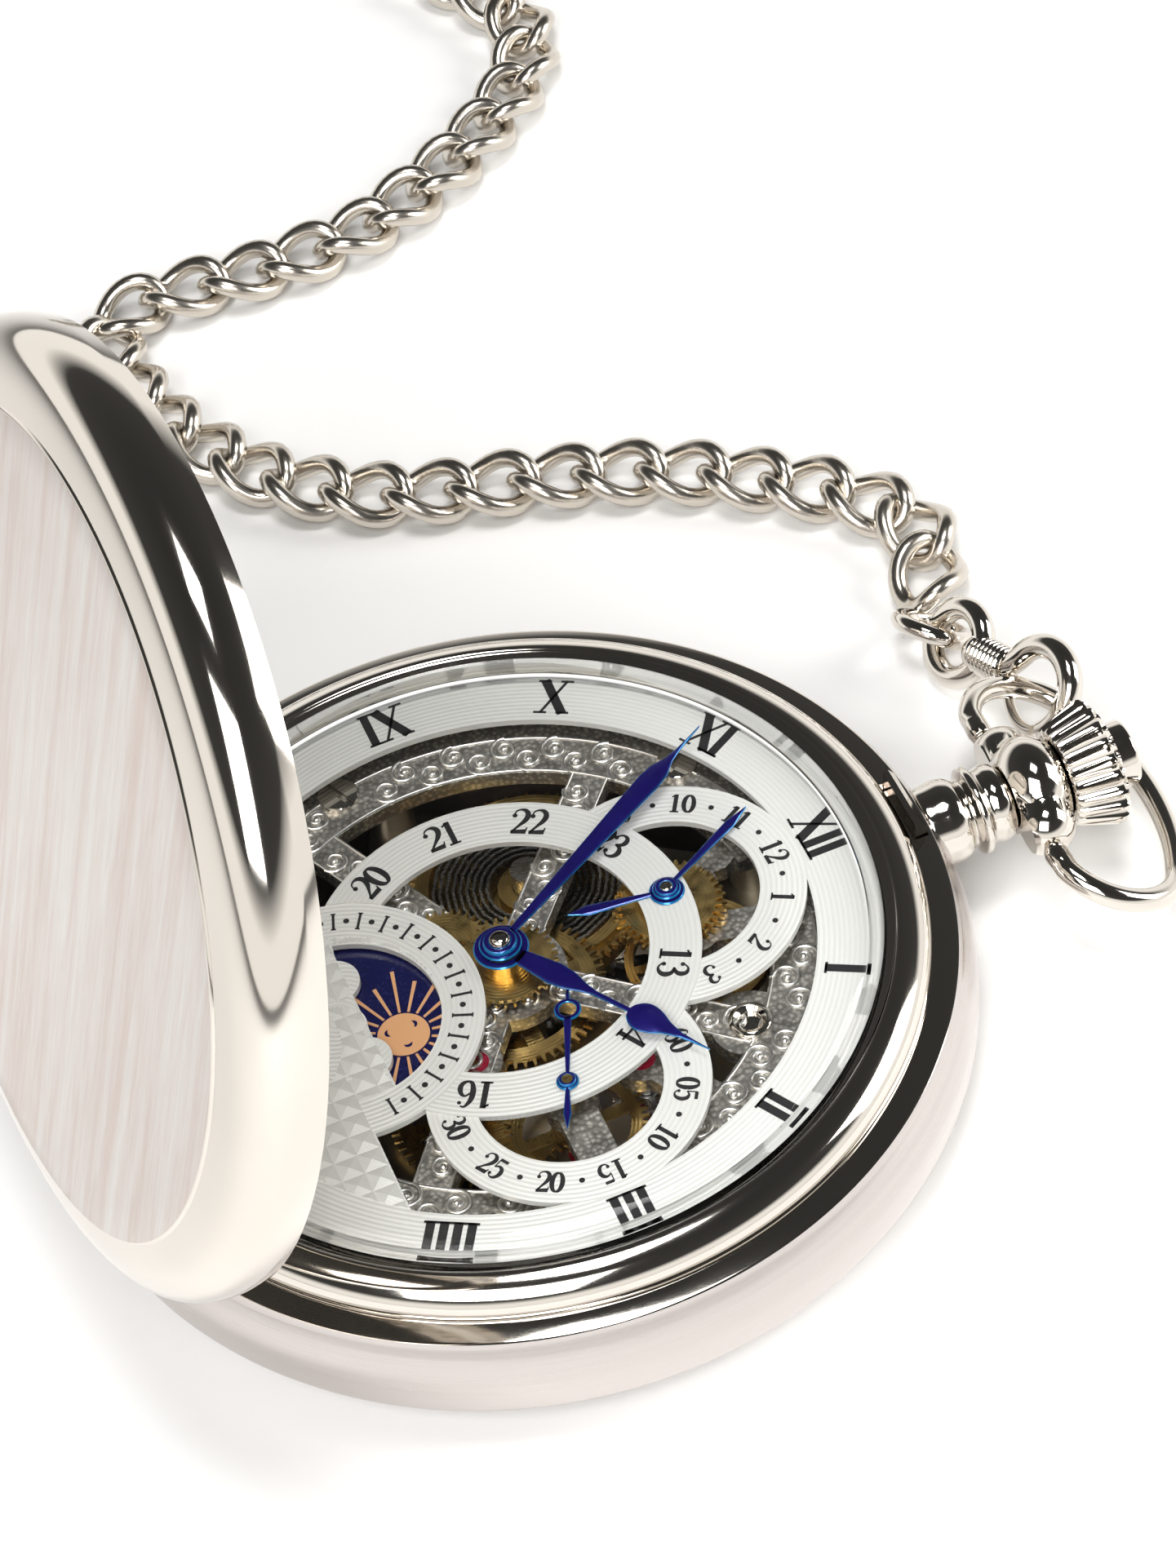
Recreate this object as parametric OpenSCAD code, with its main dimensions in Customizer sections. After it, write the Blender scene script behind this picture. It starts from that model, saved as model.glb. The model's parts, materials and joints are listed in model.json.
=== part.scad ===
// Hunter pocket watch with a skeleton dial, lying on its back with the front lid open.
// Frame: Z is the axis of the case and points out of the dial, +Y points to twelve
// o'clock and the pendant, the lid hinge is at six o'clock. Z = 0 is the flat of the back.

/* [Case] */
// Largest radius of the case middle
case_r = 25.9; // [25.6:0.1:26.2]
// Outer radius of the ledge that the lid closes on
ledge_r = 24.8; // [24.7:0.1:24.9]
// Height of that ledge above the back
ledge_z = 8.3; // [8.2:0.05:8.3]
// Height of the seam between case middle and rear cover
seam_z = 3.2; // [3.1:0.1:3.3]
// Radius of the flat that the watch lies on
rest_r = 17; // [14:0.5:18]

/* [Lid] */
// Angle that the lid stands open, from closed
lid_open = 73.7; // [60:0.1:90]
// Turn of the lid hinge about the case axis, from exactly six o'clock
hinge_turn = 4.6; // [0:0.1:6]
// Distance of the hinge axis from the case axis
hinge_r = 25.25; // [25.2:0.05:25.3]
// Height of the hinge axis
hinge_z = 8.84; // [8.8:0.02:8.88]
// Height of the lid's outer face when it is shut
lid_top = 12.84; // [12.8:0.02:13]
// Radius of the satin field on the lid
lid_field_r = 21.4; // [20:0.1:22]

/* [Dial] */
// Radius of the dial
dial_r = 21; // [20.8:0.1:21]
// Inner radius of the chapter ring
chapter_r = 17.3; // [17:0.1:17.4]
// Outer radius of the 24-hour ring
day_ring_ro = 11; // [10.8:0.1:11]
// Inner radius of the 24-hour ring
day_ring_ri = 8.1; // [8:0.1:8.2]
// Outer radius of a small dial's ring
sub_ring_ro = 7.75; // [7.6:0.05:7.8]
// Inner radius of a small dial's ring
sub_ring_ri = 5.15; // [5:0.05:5.3]

/* [Hands] */
// Length of the minute hand
minute_len = 18.5; // [17:0.1:18.5]
// Length of the hour hand
hour_len = 13.9; // [12:0.1:14]
// Length of the second time zone's minute hand
dual_minute_len = 7.1; // [6:0.1:7.2]
// Length of the second time zone's hour hand
dual_hour_len = 5.65; // [4:0.05:5.7]
// Length of the small seconds hand
seconds_len = 7.2; // [6:0.1:7.4]

/* [Pendant] */
// Droop of the bow below level
bow_droop = 26.5; // [24:0.5:28]
// Radius of the bow's wire
bow_wire_r = 0.7; // [0.6:0.05:0.75]
// Largest radius of the crown
crown_r = 3.75; // [3.6:0.05:3.8]

/* [Chain] */
// Width of the chain over its links
chain_w = 5; // [4.5:0.1:5]
// Thickness of the chain as it lies
chain_t = 3.2; // [3:0.1:3.4]
// Length of the part of the chain that is gathered in a hank
hank_len = 97; // [90:1:100]

/* [Hidden] */
$fn = 96;
run = 0.04;            // running clearance of every pivot, radial

steel = [0.86, 0.84, 0.80];
silver = [0.93, 0.92, 0.89];
brass = [0.83, 0.66, 0.33];
blued = [0.10, 0.12, 0.42];
ruby = [0.62, 0.08, 0.18];

dial_z = 9;             // face of the dial
sub_r = 9.8;           // distance of the small dials from the centre
pendant_z = 6;         // axis of the pendant
bow_half_w = 9;        // to the middle of the bow's wire

// Heights of the movement
bore_r = 22.5;         // bore of the case middle
spigot_r = 23.2;       // snap spigot that the rear cover grips
plate_r = 20.6;        // main plate
plate_z0 = 6.5;
plate_z1 = 7.5;
bridge_z0 = 1.9;
bridge_z1 = 2.7;
arbor_r = 0.3;
pin_r = 0.3;

// Where each arbor stands
centre_at = [0, 0];
barrel_at = [-7.4, 3.85];
third_at = [5, -3.75];
fourth_at = [sub_r, 0];
escape_at = [8.9, 4.46];
pallet_at = [7.4, 7];
balance_at = [2, 10.4];
dual_at = [0, sub_r];
day_at = [0, -sub_r];
minute_wheel_at = [-3, -2.57];
crown_wheel_at = [-1.8, 13.2];
click_at = [-14.9, 2.2];

// Small parts of the lid hinge
knuckle_r = 0.72;
knuckle_gap_r = 0.8;
knuckle_half = 4.5;    // half length of the whole hinge
lid_knuckle_half = 1.5;
side_gap = 0.05;       // gap between neighbouring knuckles

// Pendant along Y
neck_y0 = 25.2;
neck_y1 = 30.2;
head_y1 = 33.4;
crown_y0 = 33.5;
crown_y1 = 36.5;
button_y0 = 36.0;
button_y1 = 37.9;
button_travel = 0.8;
bow_y = 31;            // pivot of the bow
bow_rise = 3.7;        // pivot to the middle of the oval
bow_side_r = 3.9;      // oval's side arcs
bow_side_x = bow_half_w - bow_side_r;
bow_half_h = 5.25;
bow_diff = bow_half_h - bow_side_r;
bow_drop = (pow(bow_side_x, 2) - pow(bow_diff, 2)) / (2 * bow_diff);
bow_top_r = bow_drop + bow_half_h;
bow_top_angle = atan2(bow_side_x, bow_drop);
bow_end_angle = 70;
bow_end_x = bow_side_x + bow_side_r * cos(bow_end_angle);
bow_end_s = bow_rise - bow_side_r * sin(bow_end_angle);

// Clasp: its axis runs from the jump ring to the hook
clasp_at = [-17.6, 33.2, 1.85];
clasp_turn = 17;       // about Z, from +X
clasp_pitch = 15;      // rise towards the hook
clasp_roll = -40;      // turn of the hook about that axis
ring_x = 0.5;
ring_r = 2.1;
ring_wire_r = 0.55;
eye_x = 2.9;
eye_r = 2.1;
eye_wire_r = 0.7;
eye_x1 = 4.95;
collar_x0 = 5;
collar_x1 = 7.4;
collar_r = 1.2;
collar_ribs = 7;
hook_x = 10.4;         // centre of the hook's round
hook_z = -0.2;
hook_r = 2.5;
hook_wire_r = 0.75;
hook_end = -62;        // angle of its tip
gate_wire_r = 0.4;
gate_start = -166;
gate_gap = 15;         // angle left for the gate to swing inward
gate_pin_r = 0.2;
gate_x = hook_x + hook_r * cos(gate_start);
gate_z = hook_z + hook_r * sin(gate_start);

// The chain lies on the surface that the watch lies on. Its route, link by link
chain_z = chain_t / 2;
chain_route = [[-19.8, 33.4], [-22.1, 35.3], [-24.8, 36.1], [-27.8, 35.3], [-30.6, 33.1],
  [-33, 30.4], [-35.1, 27.8], [-36.9, 25.2], [-38.3, 22.6], [-39.6, 19.8], [-40.8, 16.6],
  [-41.8, 13.6], [-42.8, 10.6], [-44.1, 7.8], [-45.9, 5.2], [-48.3, 2.6], [-51.2, 0.4],
  [-54.3, -1.3], [-57.3, -2.6], [-60.6, -3.4], [-64, -3.8], [-66.8, -3.2], [-68.2, -1],
  [-68.3, 2], [-67.9, 5], [-67.6, 8.4], [-67.6, 11.8], [-68.1, 15.2], [-69.4, 18.8],
  [-71.4, 22.6], [-74, 26.4], [-77.2, 29.8], [-80.6, 31.6], [-84.2, 31.8], [-87.4, 30.4],
  [-90.6, 29.2], [-92.8, 28.7], [-94.25, 28.6]];
hank_at = [-94, 28.6];
hank_turn = 180;       // about Z, from +X
hank_w = 12;
end_ring_at = [-113, 20.15];
end_ring_r = 2.2;
end_ring_wire_r = 0.6;
bar_at = [-113, 16.74];
bar_len = 24;
bar_r = 1.05;
bar_end_r = 1.4;

function arc_pts(cx, cy, r, a0, a1, n) =
  [for (i = [0:n]) let (a = a0 + (a1 - a0) * i / n) [cx + r * cos(a), cy + r * sin(a)]];

function bezier(p0, p1, p2, n) =
  [for (i = [0:n]) let (t = i / n) (1 - t) * (1 - t) * p0 + 2 * t * (1 - t) * p1 + t * t * p2];

// Outside of the case middle, from the seam up to the ledge
function barrel_side(n) =
  [for (i = [0:n]) let (t = i / n, z = seam_z + (ledge_z - seam_z) * t)
    [case_r - (case_r - ledge_r) * pow(abs(t - 0.4) / 0.6, 2.2) * (t > 0.4 ? 1 : 0.28), z]];

// Teeth as straight-flanked stubs between a root and a tip radius
module gear2d(tip, root, teeth, duty = 0.5) {
  step = 360 / teeth;
  polygon([for (i = [0:teeth - 1]) for (k = [0:3])
    let (a = i * step + step * [-duty * 0.5, -duty * 0.22, duty * 0.22, duty * 0.5][k],
         r = [root, tip, tip, root][k]) [r * cos(a), r * sin(a)]]);
}

module ring(ro, ri, z0, z1) {
  translate([0, 0, z0]) linear_extrude(z1 - z0) difference() {
    circle(ro);
    circle(ri);
  }
}

module at(p, z = 0) { translate([p[0], p[1], z]) children(); }

module rod(r, z0, z1) { translate([0, 0, z0]) cylinder(r = r, h = z1 - z0); }

// A rod along Y at the height of the pendant
module y_rod(r, y0, y1) {
  translate([0, y0, pendant_z]) rotate([-90, 0, 0]) cylinder(r = r, h = y1 - y0);
}

module y_turned(profile) {
  translate([0, 0, pendant_z]) rotate([-90, 0, 0]) rotate_extrude() polygon(profile);
}

// Children drawn along the hinge axis: X along the pin, Y to the case axis, Z up
module in_hinge() {
  rotate([0, 0, hinge_turn]) translate([0, -hinge_r, hinge_z]) children();
}

module swing_lid(angle) {
  rotate([0, 0, hinge_turn]) translate([0, -hinge_r, hinge_z]) rotate([angle, 0, 0])
    translate([0, hinge_r, -hinge_z]) rotate([0, 0, -hinge_turn]) children();
}

module x_bar(r, x0, x1) {
  translate([x0, 0, 0]) rotate([0, 90, 0]) cylinder(r = r, h = x1 - x0);
}

// ---- Case ----

module case_outline_solid() {
  rotate_extrude($fn = 160) polygon(concat([[0, seam_z]], barrel_side(12), [[0, ledge_z]]));
}

module mid_case() color(steel) difference() {
  union() {
    rotate_extrude($fn = 160) polygon(concat(
      [[bore_r, 2.2], [spigot_r - 0.1, 2.2], [spigot_r, 2.4], [spigot_r, seam_z]],
      barrel_side(12), [[bore_r, ledge_z]]));
    for (s = [-1, 1]) in_hinge() {
      x_bar(knuckle_r, s > 0 ? lid_knuckle_half + side_gap : -knuckle_half,
        s > 0 ? knuckle_half : -lid_knuckle_half - side_gap);
      translate([s > 0 ? lid_knuckle_half + side_gap : -knuckle_half, -0.3, -0.95])
        cube([knuckle_half - lid_knuckle_half - side_gap, 1.2, 0.75]);
    }
  }
  in_hinge() {
    x_bar(pin_r, -6, 6);
    x_bar(knuckle_gap_r, -lid_knuckle_half - side_gap, lid_knuckle_half + side_gap);
  }
  y_rod(1.2, 20, 27);
  translate([-2.3, 23.55, 7.3]) cube([4.6, 1.05, 2]);
  translate([-2.3, 22, 7.3]) cube([4.6, 2.6, 0.45]);
}

module rear_cover() color(steel) rotate_extrude($fn = 160) polygon(concat(
  [[0, 0], [rest_r, 0]],
  bezier([19.5, 0.12], [24.6, 0.5], [25.55, seam_z], 9),
  [[spigot_r, seam_z], [spigot_r, 2], [22.6, 1.4], [20, 0.9], [rest_r, 0.75], [0, 0.75]]));

module bezel() color(steel) difference() {
  rotate_extrude($fn = 160) polygon(concat(
    [[dial_r, ledge_z], [23.5, ledge_z], [23.6, 8.45]],
    bezier([23.6, 8.7], [23.3, 9.85], [22, 10.15], 7),
    [[21.7, 10.15], [dial_r, 9.9]]));
}

module crystal() color([0.9, 0.95, 1, 0.25]) rotate_extrude($fn = 128) polygon(concat(
  [[20.2, dial_z], [dial_r, dial_z], [dial_r, 10]],
  bezier([20.9, 10.3], [20.6, 10.75], [19.6, 10.95], 4),
  [for (i = [1:6]) let (r = 19.6 * (1 - i / 6)) [r, 11.95 - 1.0 * pow(r / 19.6, 2)]],
  [for (i = [0:6]) let (r = 18.8 * i / 6) [r, 11.15 - 0.75 * pow(r / 18.8, 2)]],
  [[19.8, 10.25], [20.2, 9.9]]));

module lid_shell() {
  rotate_extrude($fn = 160) polygon(concat(
    [[24.2, 8.42], [24.9, 8.42]],
    bezier([25.1, 9.2], [25.5, 11.9], [22.6, 12.5], 8),
    [[lid_field_r + 0.12, 12.72], [lid_field_r, lid_top], [0, lid_top], [0, 12.35],
      [20.8, 12.35]],
    bezier([21.8, 12.15], [24.6, 11.6], [24.3, 9.6], 6)));
}

module front_lid() color(steel) swing_lid(lid_open) difference() {
  union() {
    difference() {
      lid_shell();
      in_hinge() {
        x_bar(knuckle_gap_r, -knuckle_half - 0.1, knuckle_half + 0.1);
        translate([-knuckle_half - 0.1, -1.2, -1.2]) cube([2 * knuckle_half + 0.2, 2.35, 1.1]);
      }
      translate([-2.6, 23.6, 8]) cube([5.2, 1.05, 1.7]);
    }
    in_hinge() {
      x_bar(knuckle_r, -lid_knuckle_half, lid_knuckle_half);
      translate([-lid_knuckle_half, 0, -0.1]) cube([2 * lid_knuckle_half, 0.85, 1.0]);
    }
  }
  in_hinge() x_bar(pin_r + run, -6, 6);
}

module lid_hinge_pin() color(steel) in_hinge() x_bar(pin_r, -knuckle_half, knuckle_half);

module arc_spring(a0, a1, ro, ri, z0, z1) {
  rotate([0, 0, a0]) rotate_extrude(angle = a1 - a0)
    translate([ri, z0]) square([ro - ri, z1 - z0]);
}

module lid_spring() color(steel) {
  arc_spring(170, 262, 22.45, 21.9, 3.4, 4.9);
  arc_spring(259, 261, 22, 21.2, 3.6, 4.7);
}

module latch_spring() color(steel) arc_spring(10, 82, 22.45, 21.9, 3.4, 4.9);

module lid_latch() color(steel) {
  translate([-2.2, 23.85, 7.35]) cube([4.4, 0.7, 1.0]);
  translate([-2.2, 0, 0]) rotate([90, 0, 90]) linear_extrude(4.4)
    polygon([[23.85, 8.3], [24.55, 8.3], [24.55, 8.9], [24.2, 9.4], [23.85, 9.4]]);
  translate([-2.2, 22.3, 7.35]) cube([4.4, 1.6, 0.35]);
}

// ---- Pendant, crown and bow ----

module pendant_neck() color(steel) difference() {
  y_turned([[1.2, neck_y0 - 0.5], [2.2, neck_y0 - 0.5], [2.4, 25.9], [2.5, 26.5], [2.35, 27.2],
    [1.95, 27.6], [2.1, 27.8], [2.6, 28.05], [2.6, 28.4], [2.1, 28.65], [2.3, 29.2],
    [2.25, 29.8], [1.9, neck_y1], [1.2, neck_y1]]);
  case_outline_solid();
  in_pendant_bore();
}

module in_pendant_bore() { y_rod(1.2, 20, 34); }

module pendant_head() color(steel) difference() {
  translate([0, 0, pendant_z]) hull() {
    for (s = [-1, 1]) translate([s * 2.9, 31.35, 0]) sphere(r = 1.75, $fn = 32);
    translate([0, neck_y1, 0]) rotate([-90, 0, 0]) cylinder(r = 1.9, h = 0.4, $fn = 32);
    translate([0, 32.6, 0]) rotate([-90, 0, 0]) cylinder(r = 3, h = head_y1 - 32.6, $fn = 32);
  }
  in_pendant_bore();
  y_rod(2.4, neck_y1 - 2, neck_y1);
  translate([0, bow_y, pendant_z]) for (s = [-1, 1])
    x_bar(0.45 + run, s > 0 ? 3.6 : -6, s > 0 ? 6 : -3.6);
  for (s = [-1, 1]) translate([s > 0 ? 4.55 : -6.55, bow_y - 3, pendant_z - 3]) cube([2, 6, 6]);
}

// Half of the bow's oval, from the pivot to the top
function bow_half() = concat(
  [[bow_end_x - 0.9, bow_end_s]],
  arc_pts(bow_side_x, bow_rise, bow_side_r, -bow_end_angle, 90 - bow_top_angle, 12),
  arc_pts(0, bow_rise - bow_drop, bow_top_r, 90 - bow_top_angle + 6, 90, 4));

module bow() color(steel) translate([0, bow_y, pendant_z]) rotate([-bow_droop, 0, 0]) {
  half = bow_half();
  last = len(half) - 1;
  tube(concat(half, [for (i = [last - 1:-1:0]) [-half[i][0], half[i][1]]]),
    bow_wire_r, bow_wire_r, 0, 12);
  for (s = [-1, 1]) {
    x_bar(0.6, s > 0 ? 4.65 : -bow_end_x + 0.3, s > 0 ? bow_end_x - 0.3 : -4.65);
    x_bar(0.45, s > 0 ? 3.8 : -4.8, s > 0 ? 4.8 : -3.8);
  }
}

module crown() color(steel) difference() {
  y_turned([[0.85, crown_y0], [2.9, crown_y0], [3.1, 33.7], [crown_r, 35.9], [crown_r, 36.1],
    [3.2, crown_y1], [2.03, crown_y1], [2.03, button_y0 - button_travel],
    [0.85, button_y0 - button_travel]]);
  for (i = [0:23]) translate([0, 0, pendant_z]) rotate([0, i * 15, 0])
    translate([0, crown_y0 - 0.3, 3.25]) rotate([-76, 0, 0]) cylinder(r = 0.24, h = 3.6, $fn = 24);
}

module crown_button() color(steel) y_turned([[0, button_y0], [1.95, button_y0],
  [1.95, button_y1 - 0.25], [1.7, button_y1], [0, button_y1]]);

module winding_stem() color(steel) {
  y_rod(0.8, 16.6, crown_y0 + 1.2);
}

module winding_pinion() color(steel) difference() {
  translate([0, 17.4, pendant_z]) rotate([-90, 0, 0]) linear_extrude(1.6)
    gear2d(1.75, 1.35, 12);
  y_rod(0.84, 17, 20);
}

module movement_ring() color(silver) difference() {
  union() {
    ring(22.45, 20.7, 5.5, 8.25);
    ring(20.95, 20.7, 8.2, 8.6);
  }
  y_rod(1.3, 19, 24);
  translate([-2.4, 21.4, 7.2]) cube([4.8, 2, 1.2]);
}

// ---- Movement ----

module arm2d(p, q, w) {
  d = q - p;
  translate(p) rotate(atan2(d[1], d[0])) translate([0, -w / 2]) square([norm(d), w]);
}

plate_bosses = [third_at, fourth_at, escape_at, pallet_at, balance_at, minute_wheel_at];

// Where the stem and the winding pinion pass
module stem_gap2d() {
  translate([-1.4, 13]) square([2.8, 9]);
  translate([-2, 17.2]) square([4, 3]);
}

module main_plate2d() difference() {
  union() {
    difference() {
      circle(plate_r);
      circle(14.6);
    }
    circle(3.4);
    for (a = [48, 140, 205, 323]) rotate(a) translate([2.5, -1.1]) square([12.6, 2.2]);
    for (b = plate_bosses) translate(b) circle(1.5);
    translate([9.3, 10.7]) circle(2.2);
    translate(day_at) circle(2);
    translate(dual_at) circle(1.4);
    arm2d(fourth_at, [15.4, 0], 2.2);
    arm2d(balance_at, [3.2, 15.4], 2);
    arm2d(escape_at, [14, 7.7], 1.8);
    arm2d(day_at, [0, -15.4], 2.2);
    arm2d(dual_at, [-3.4, 15], 2);
  }
  for (b = [centre_at, balance_at, third_at, escape_at, pallet_at]) translate(b) circle(0.75);
  translate(fourth_at) circle(arbor_r + run);
  for (p = screw_spots) translate(p) circle(0.7);
  stem_gap2d();
}

module main_plate() color(silver) difference() {
  translate([0, 0, plate_z0]) linear_extrude(plate_z1 - plate_z0) main_plate2d();
  for (b = [minute_wheel_at, day_at, dual_at]) at(b) rod(arbor_r, 7, plate_z1 + 1);
}

screw_spots = [[-16.4, -4.1], [9.3, 10.7], [16.2, -6.8], [-9.6, 14.2], [-6.5, -15.6]];

module jewel(ri, z0, z1) { ring(0.75, ri, z0, z1); }

module jewels() color(ruby) {
  for (b = [third_at, escape_at, pallet_at, balance_at])
    at(b) jewel(arbor_r + run, plate_z0 + 0.3, plate_z1);
  for (b = [third_at, fourth_at, escape_at])
    at(b) jewel(arbor_r + run, bridge_z0, bridge_z1);
  at(centre_at) jewel(0.5 + run, plate_z0 + 0.3, plate_z1);
}

module plate_screws() color(blued) for (p = screw_spots) at(p) difference() {
  union() {
    rod(0.7, 4.9, plate_z1);
    rod(1.25, plate_z1, 7.9);
  }
  translate([-1.5, -0.16, 7.7]) cube([3, 0.32, 0.4]);
}

module bridge_post(p, r = 1.4) { at(p) rod(r, bridge_z1 - 0.1, plate_z0); }

module train_bridge() color(silver) difference() {
  union() {
    hull() {
      at([0.6, -0.5]) rod(1.9, bridge_z0, bridge_z1);
      at(third_at) rod(1.9, bridge_z0, bridge_z1);
      at([6, -14]) rod(2.4, bridge_z0, bridge_z1);
    }
    hull() {
      at(third_at) rod(1.9, bridge_z0, bridge_z1);
      at(fourth_at) rod(1.9, bridge_z0, bridge_z1);
      at([16.4, -4]) rod(2.2, bridge_z0, bridge_z1);
    }
    hull() {
      at(fourth_at) rod(1.7, bridge_z0, bridge_z1);
      at(escape_at) rod(1.7, bridge_z0, bridge_z1);
      at([16.6, 2]) rod(2, bridge_z0, bridge_z1);
    }
    bridge_post([6, -15.5]);
    bridge_post([17.2, -4.4]);
  }
  at(centre_at) rod(arbor_r + run, 1, 4);
  for (b = [third_at, fourth_at, escape_at]) at(b) rod(0.75, 1, 4);
}

module barrel_bridge() color(silver) difference() {
  union() {
    hull() {
      at([-15.6, -1]) rod(2.2, bridge_z0, bridge_z1);
      at([-3, 15.2]) rod(2.4, bridge_z0, bridge_z1);
      at(barrel_at) rod(4, bridge_z0, bridge_z1);
    }
    bridge_post([-16.4, -1.4]);
    bridge_post([-4, 16], 1.3);
  }
  at(barrel_at) rod(0.9 + run, 1, 4);
  at(crown_wheel_at) rod(arbor_r, 1, 4);
  at(click_at) rod(arbor_r, 1, 4);
}

module balance_cock() color(silver) difference() {
  union() {
    hull() {
      at(balance_at) rod(1.6, bridge_z0, bridge_z1);
      at([8.4, 16.2]) rod(2.2, bridge_z0, bridge_z1);
    }
    hull() {
      at(pallet_at) rod(1.1, bridge_z0, bridge_z1);
      at([8.4, 16.2]) rod(1.4, bridge_z0, bridge_z1);
    }
    bridge_post([8.8, 16.9]);
  }
  for (b = [balance_at, pallet_at]) at(b) rod(arbor_r + run, 1, 4);
}

// An arbor with its wheel, and a pinion beside it
module wheel(tip, depth, teeth, z0, z1, spokes, pinion_r, pinion_z0, pinion_z1, top = 7.4) {
  translate([0, 0, z0]) linear_extrude(z1 - z0) difference() {
    gear2d(tip, tip - depth, teeth);
    for (i = [0:spokes - 1]) rotate([0, 0, i * 360 / spokes]) polygon(concat(
      arc_pts(0, 0, 0.35 * tip, 14, 360 / spokes - 14, 5),
      arc_pts(0, 0, 0.83 * (tip - depth), 360 / spokes - 7, 7, 8)));
  }
  rod(arbor_r, 2.0, top);
  rod(pinion_r, pinion_z0, pinion_z1);
}

module centre_wheel() color(brass) at(centre_at) {
  wheel(5.4, 0.5, 60, 5.6, 5.85, 4, 1.2, 4.2, 5.2);
  rod(arbor_r - run, 7.3, 9.95);
}

module third_wheel() color(brass) at(third_at)
  wheel(5.4, 0.45, 60, 3.3, 3.5, 4, 0.8, 5.3, 6.2, 7.3);

module fourth_wheel() color(brass) at(fourth_at)
  wheel(4, 0.4, 48, 5, 5.2, 4, 0.6, 3.1, 3.9, 9.5);

module escape_wheel() color(steel) at(escape_at)
  wheel(2, 0.45, 15, 4.6, 4.8, 3, 0.5, 4.9, 5.4, 7.3);

module mainspring_barrel() color(brass) at(barrel_at) difference() {
  union() {
    translate([0, 0, 4.4]) linear_extrude(0.5) gear2d(7.0, 6.6, 72);
    rod(6.4, 3.1, 4.4);
    ring(6.4, 5.6, 4.4, 5.4);
  }
  rod(0.9 + run, 2, 6);
  difference() {
    rod(5.7, 3.6, 6);
    rod(1.8, 3, 6);
  }
}

// A coiled strip: inner and outer radius, thickness and number of turns
module coil2d(r0, r1, t, turns) {
  n = 20 * turns;
  function strip(i, inset) = let (a = 18 * i, r = r0 + (r1 - r0) * i / n - inset)
    [r * cos(a), r * sin(a)];
  polygon(concat([for (i = [0:n]) strip(i, 0)], [for (i = [n:-1:0]) strip(i, t)]));
}

module mainspring() color(steel) at(barrel_at, 3.7) linear_extrude(1.4)
  coil2d(2.2, 5.68, 0.16, 9);

module barrel_arbor() color(steel) at(barrel_at) rod(0.9, 1.3, 6.4);

module ratchet_wheel() color(steel) at(barrel_at) translate([0, 0, 1.3]) linear_extrude(0.5)
  difference() {
    gear2d(6.2, 5.7, 44);
    circle(0.9);
  }

module crown_wheel() color(steel) at(crown_wheel_at) {
  translate([0, 0, 1.3]) linear_extrude(0.5) gear2d(4.6, 4.1, 32);
  rod(arbor_r - run, 1.8, 2.7);
}

module click() color(steel) at(click_at) {
  rod(0.8, 1.35, 1.8);
  translate([0, 0, 1.35]) linear_extrude(0.45)
    polygon([[-0.7, 0.3], [-0.3, 1.9], [0.25, 2.3], [0.7, 0.3]]);
  rod(arbor_r - run, 1.8, 2.7);
}

module pallet_fork() color(steel) at(pallet_at) {
  rod(arbor_r, 2.0, 7.3);
  translate([0, 0, 4.2]) linear_extrude(0.25) rotate([0, 0, 148]) polygon([[-1.1, -1.3],
    [-0.5, -1.3], [-0.1, -0.35], [4.4, -0.2], [4.8, -0.5], [4.8, -0.2], [4.5, 0], [4.8, 0.2],
    [4.8, 0.5], [4.4, 0.2], [-0.1, 0.35], [-0.5, 1.3], [-1.1, 1.3], [-0.6, 0]]);
}

module balance_wheel() color(brass) at(balance_at) {
  rod(arbor_r, 2.0, 7.3);
  ring(4.1, 3.6, 4.9, 5.5);
  for (i = [0:2]) rotate([0, 0, i * 120 + 20]) translate([0.2, -0.28, 5.0]) cube([3.5, 0.56, 0.3]);
  rod(0.8, 4.9, 5.6);
}

module hairspring() color(blued) at(balance_at, 5.95) {
  ring(0.72, arbor_r, 0, 0.18);
  linear_extrude(0.18) coil2d(0.7, 2.7, 0.12, 3);
}

// ---- Motion work under the dial ----

module cannon_pinion() color(brass) difference() {
  union() {
    rod(0.7, 7.6, 10.15);
    rod(1.15, 7.6, 8.05);
  }
  rod(arbor_r, 7, 10.2);
}

module hour_wheel() color(brass) {
  translate([0, 0, 8.15]) linear_extrude(0.25) difference() {
    gear2d(3.0, 2.65, 36);
    circle(0.7 + run);
  }
  ring(1.1, 0.7 + run, 8.15, 9.84);
}

module minute_wheel() color(brass) at(minute_wheel_at) {
  translate([0, 0, 7.6]) linear_extrude(0.25) gear2d(2.75, 2.4, 36);
  rod(arbor_r - run, 7, 7.6);
  rod(0.9, 7.85, 8.4);
}

module dual_minute_wheel() color(brass) at(dual_at) {
  translate([0, 0, 7.6]) linear_extrude(0.25) gear2d(3.2, 2.85, 36);
  rod(arbor_r - run, 7, 7.6);
  rod(0.32, 7.85, 9.6);
}

module dual_hour_wheel() color(brass) at(dual_at) {
  translate([0, 0, 8.0]) linear_extrude(0.25) difference() {
    gear2d(3.0, 2.65, 36);
    circle(0.32 + run);
  }
  ring(0.6, 0.32 + run, 8.0, 9.15);
}

module day_wheel() color(brass) at(day_at) {
  translate([0, 0, 7.6]) linear_extrude(0.25) gear2d(4.4, 4.0, 48);
  rod(arbor_r - run, 7, 7.6);
  rod(0.5, 7.85, 8.1);
}

// ---- Dial ----

window_at = [0.3, -9.6];
window_r = 5.5;
plate_edge_y = -10.5;

module sub_ring(p, ri) { translate(p) difference() {
  circle(sub_ring_ro);
  circle(ri);
} }

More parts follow.
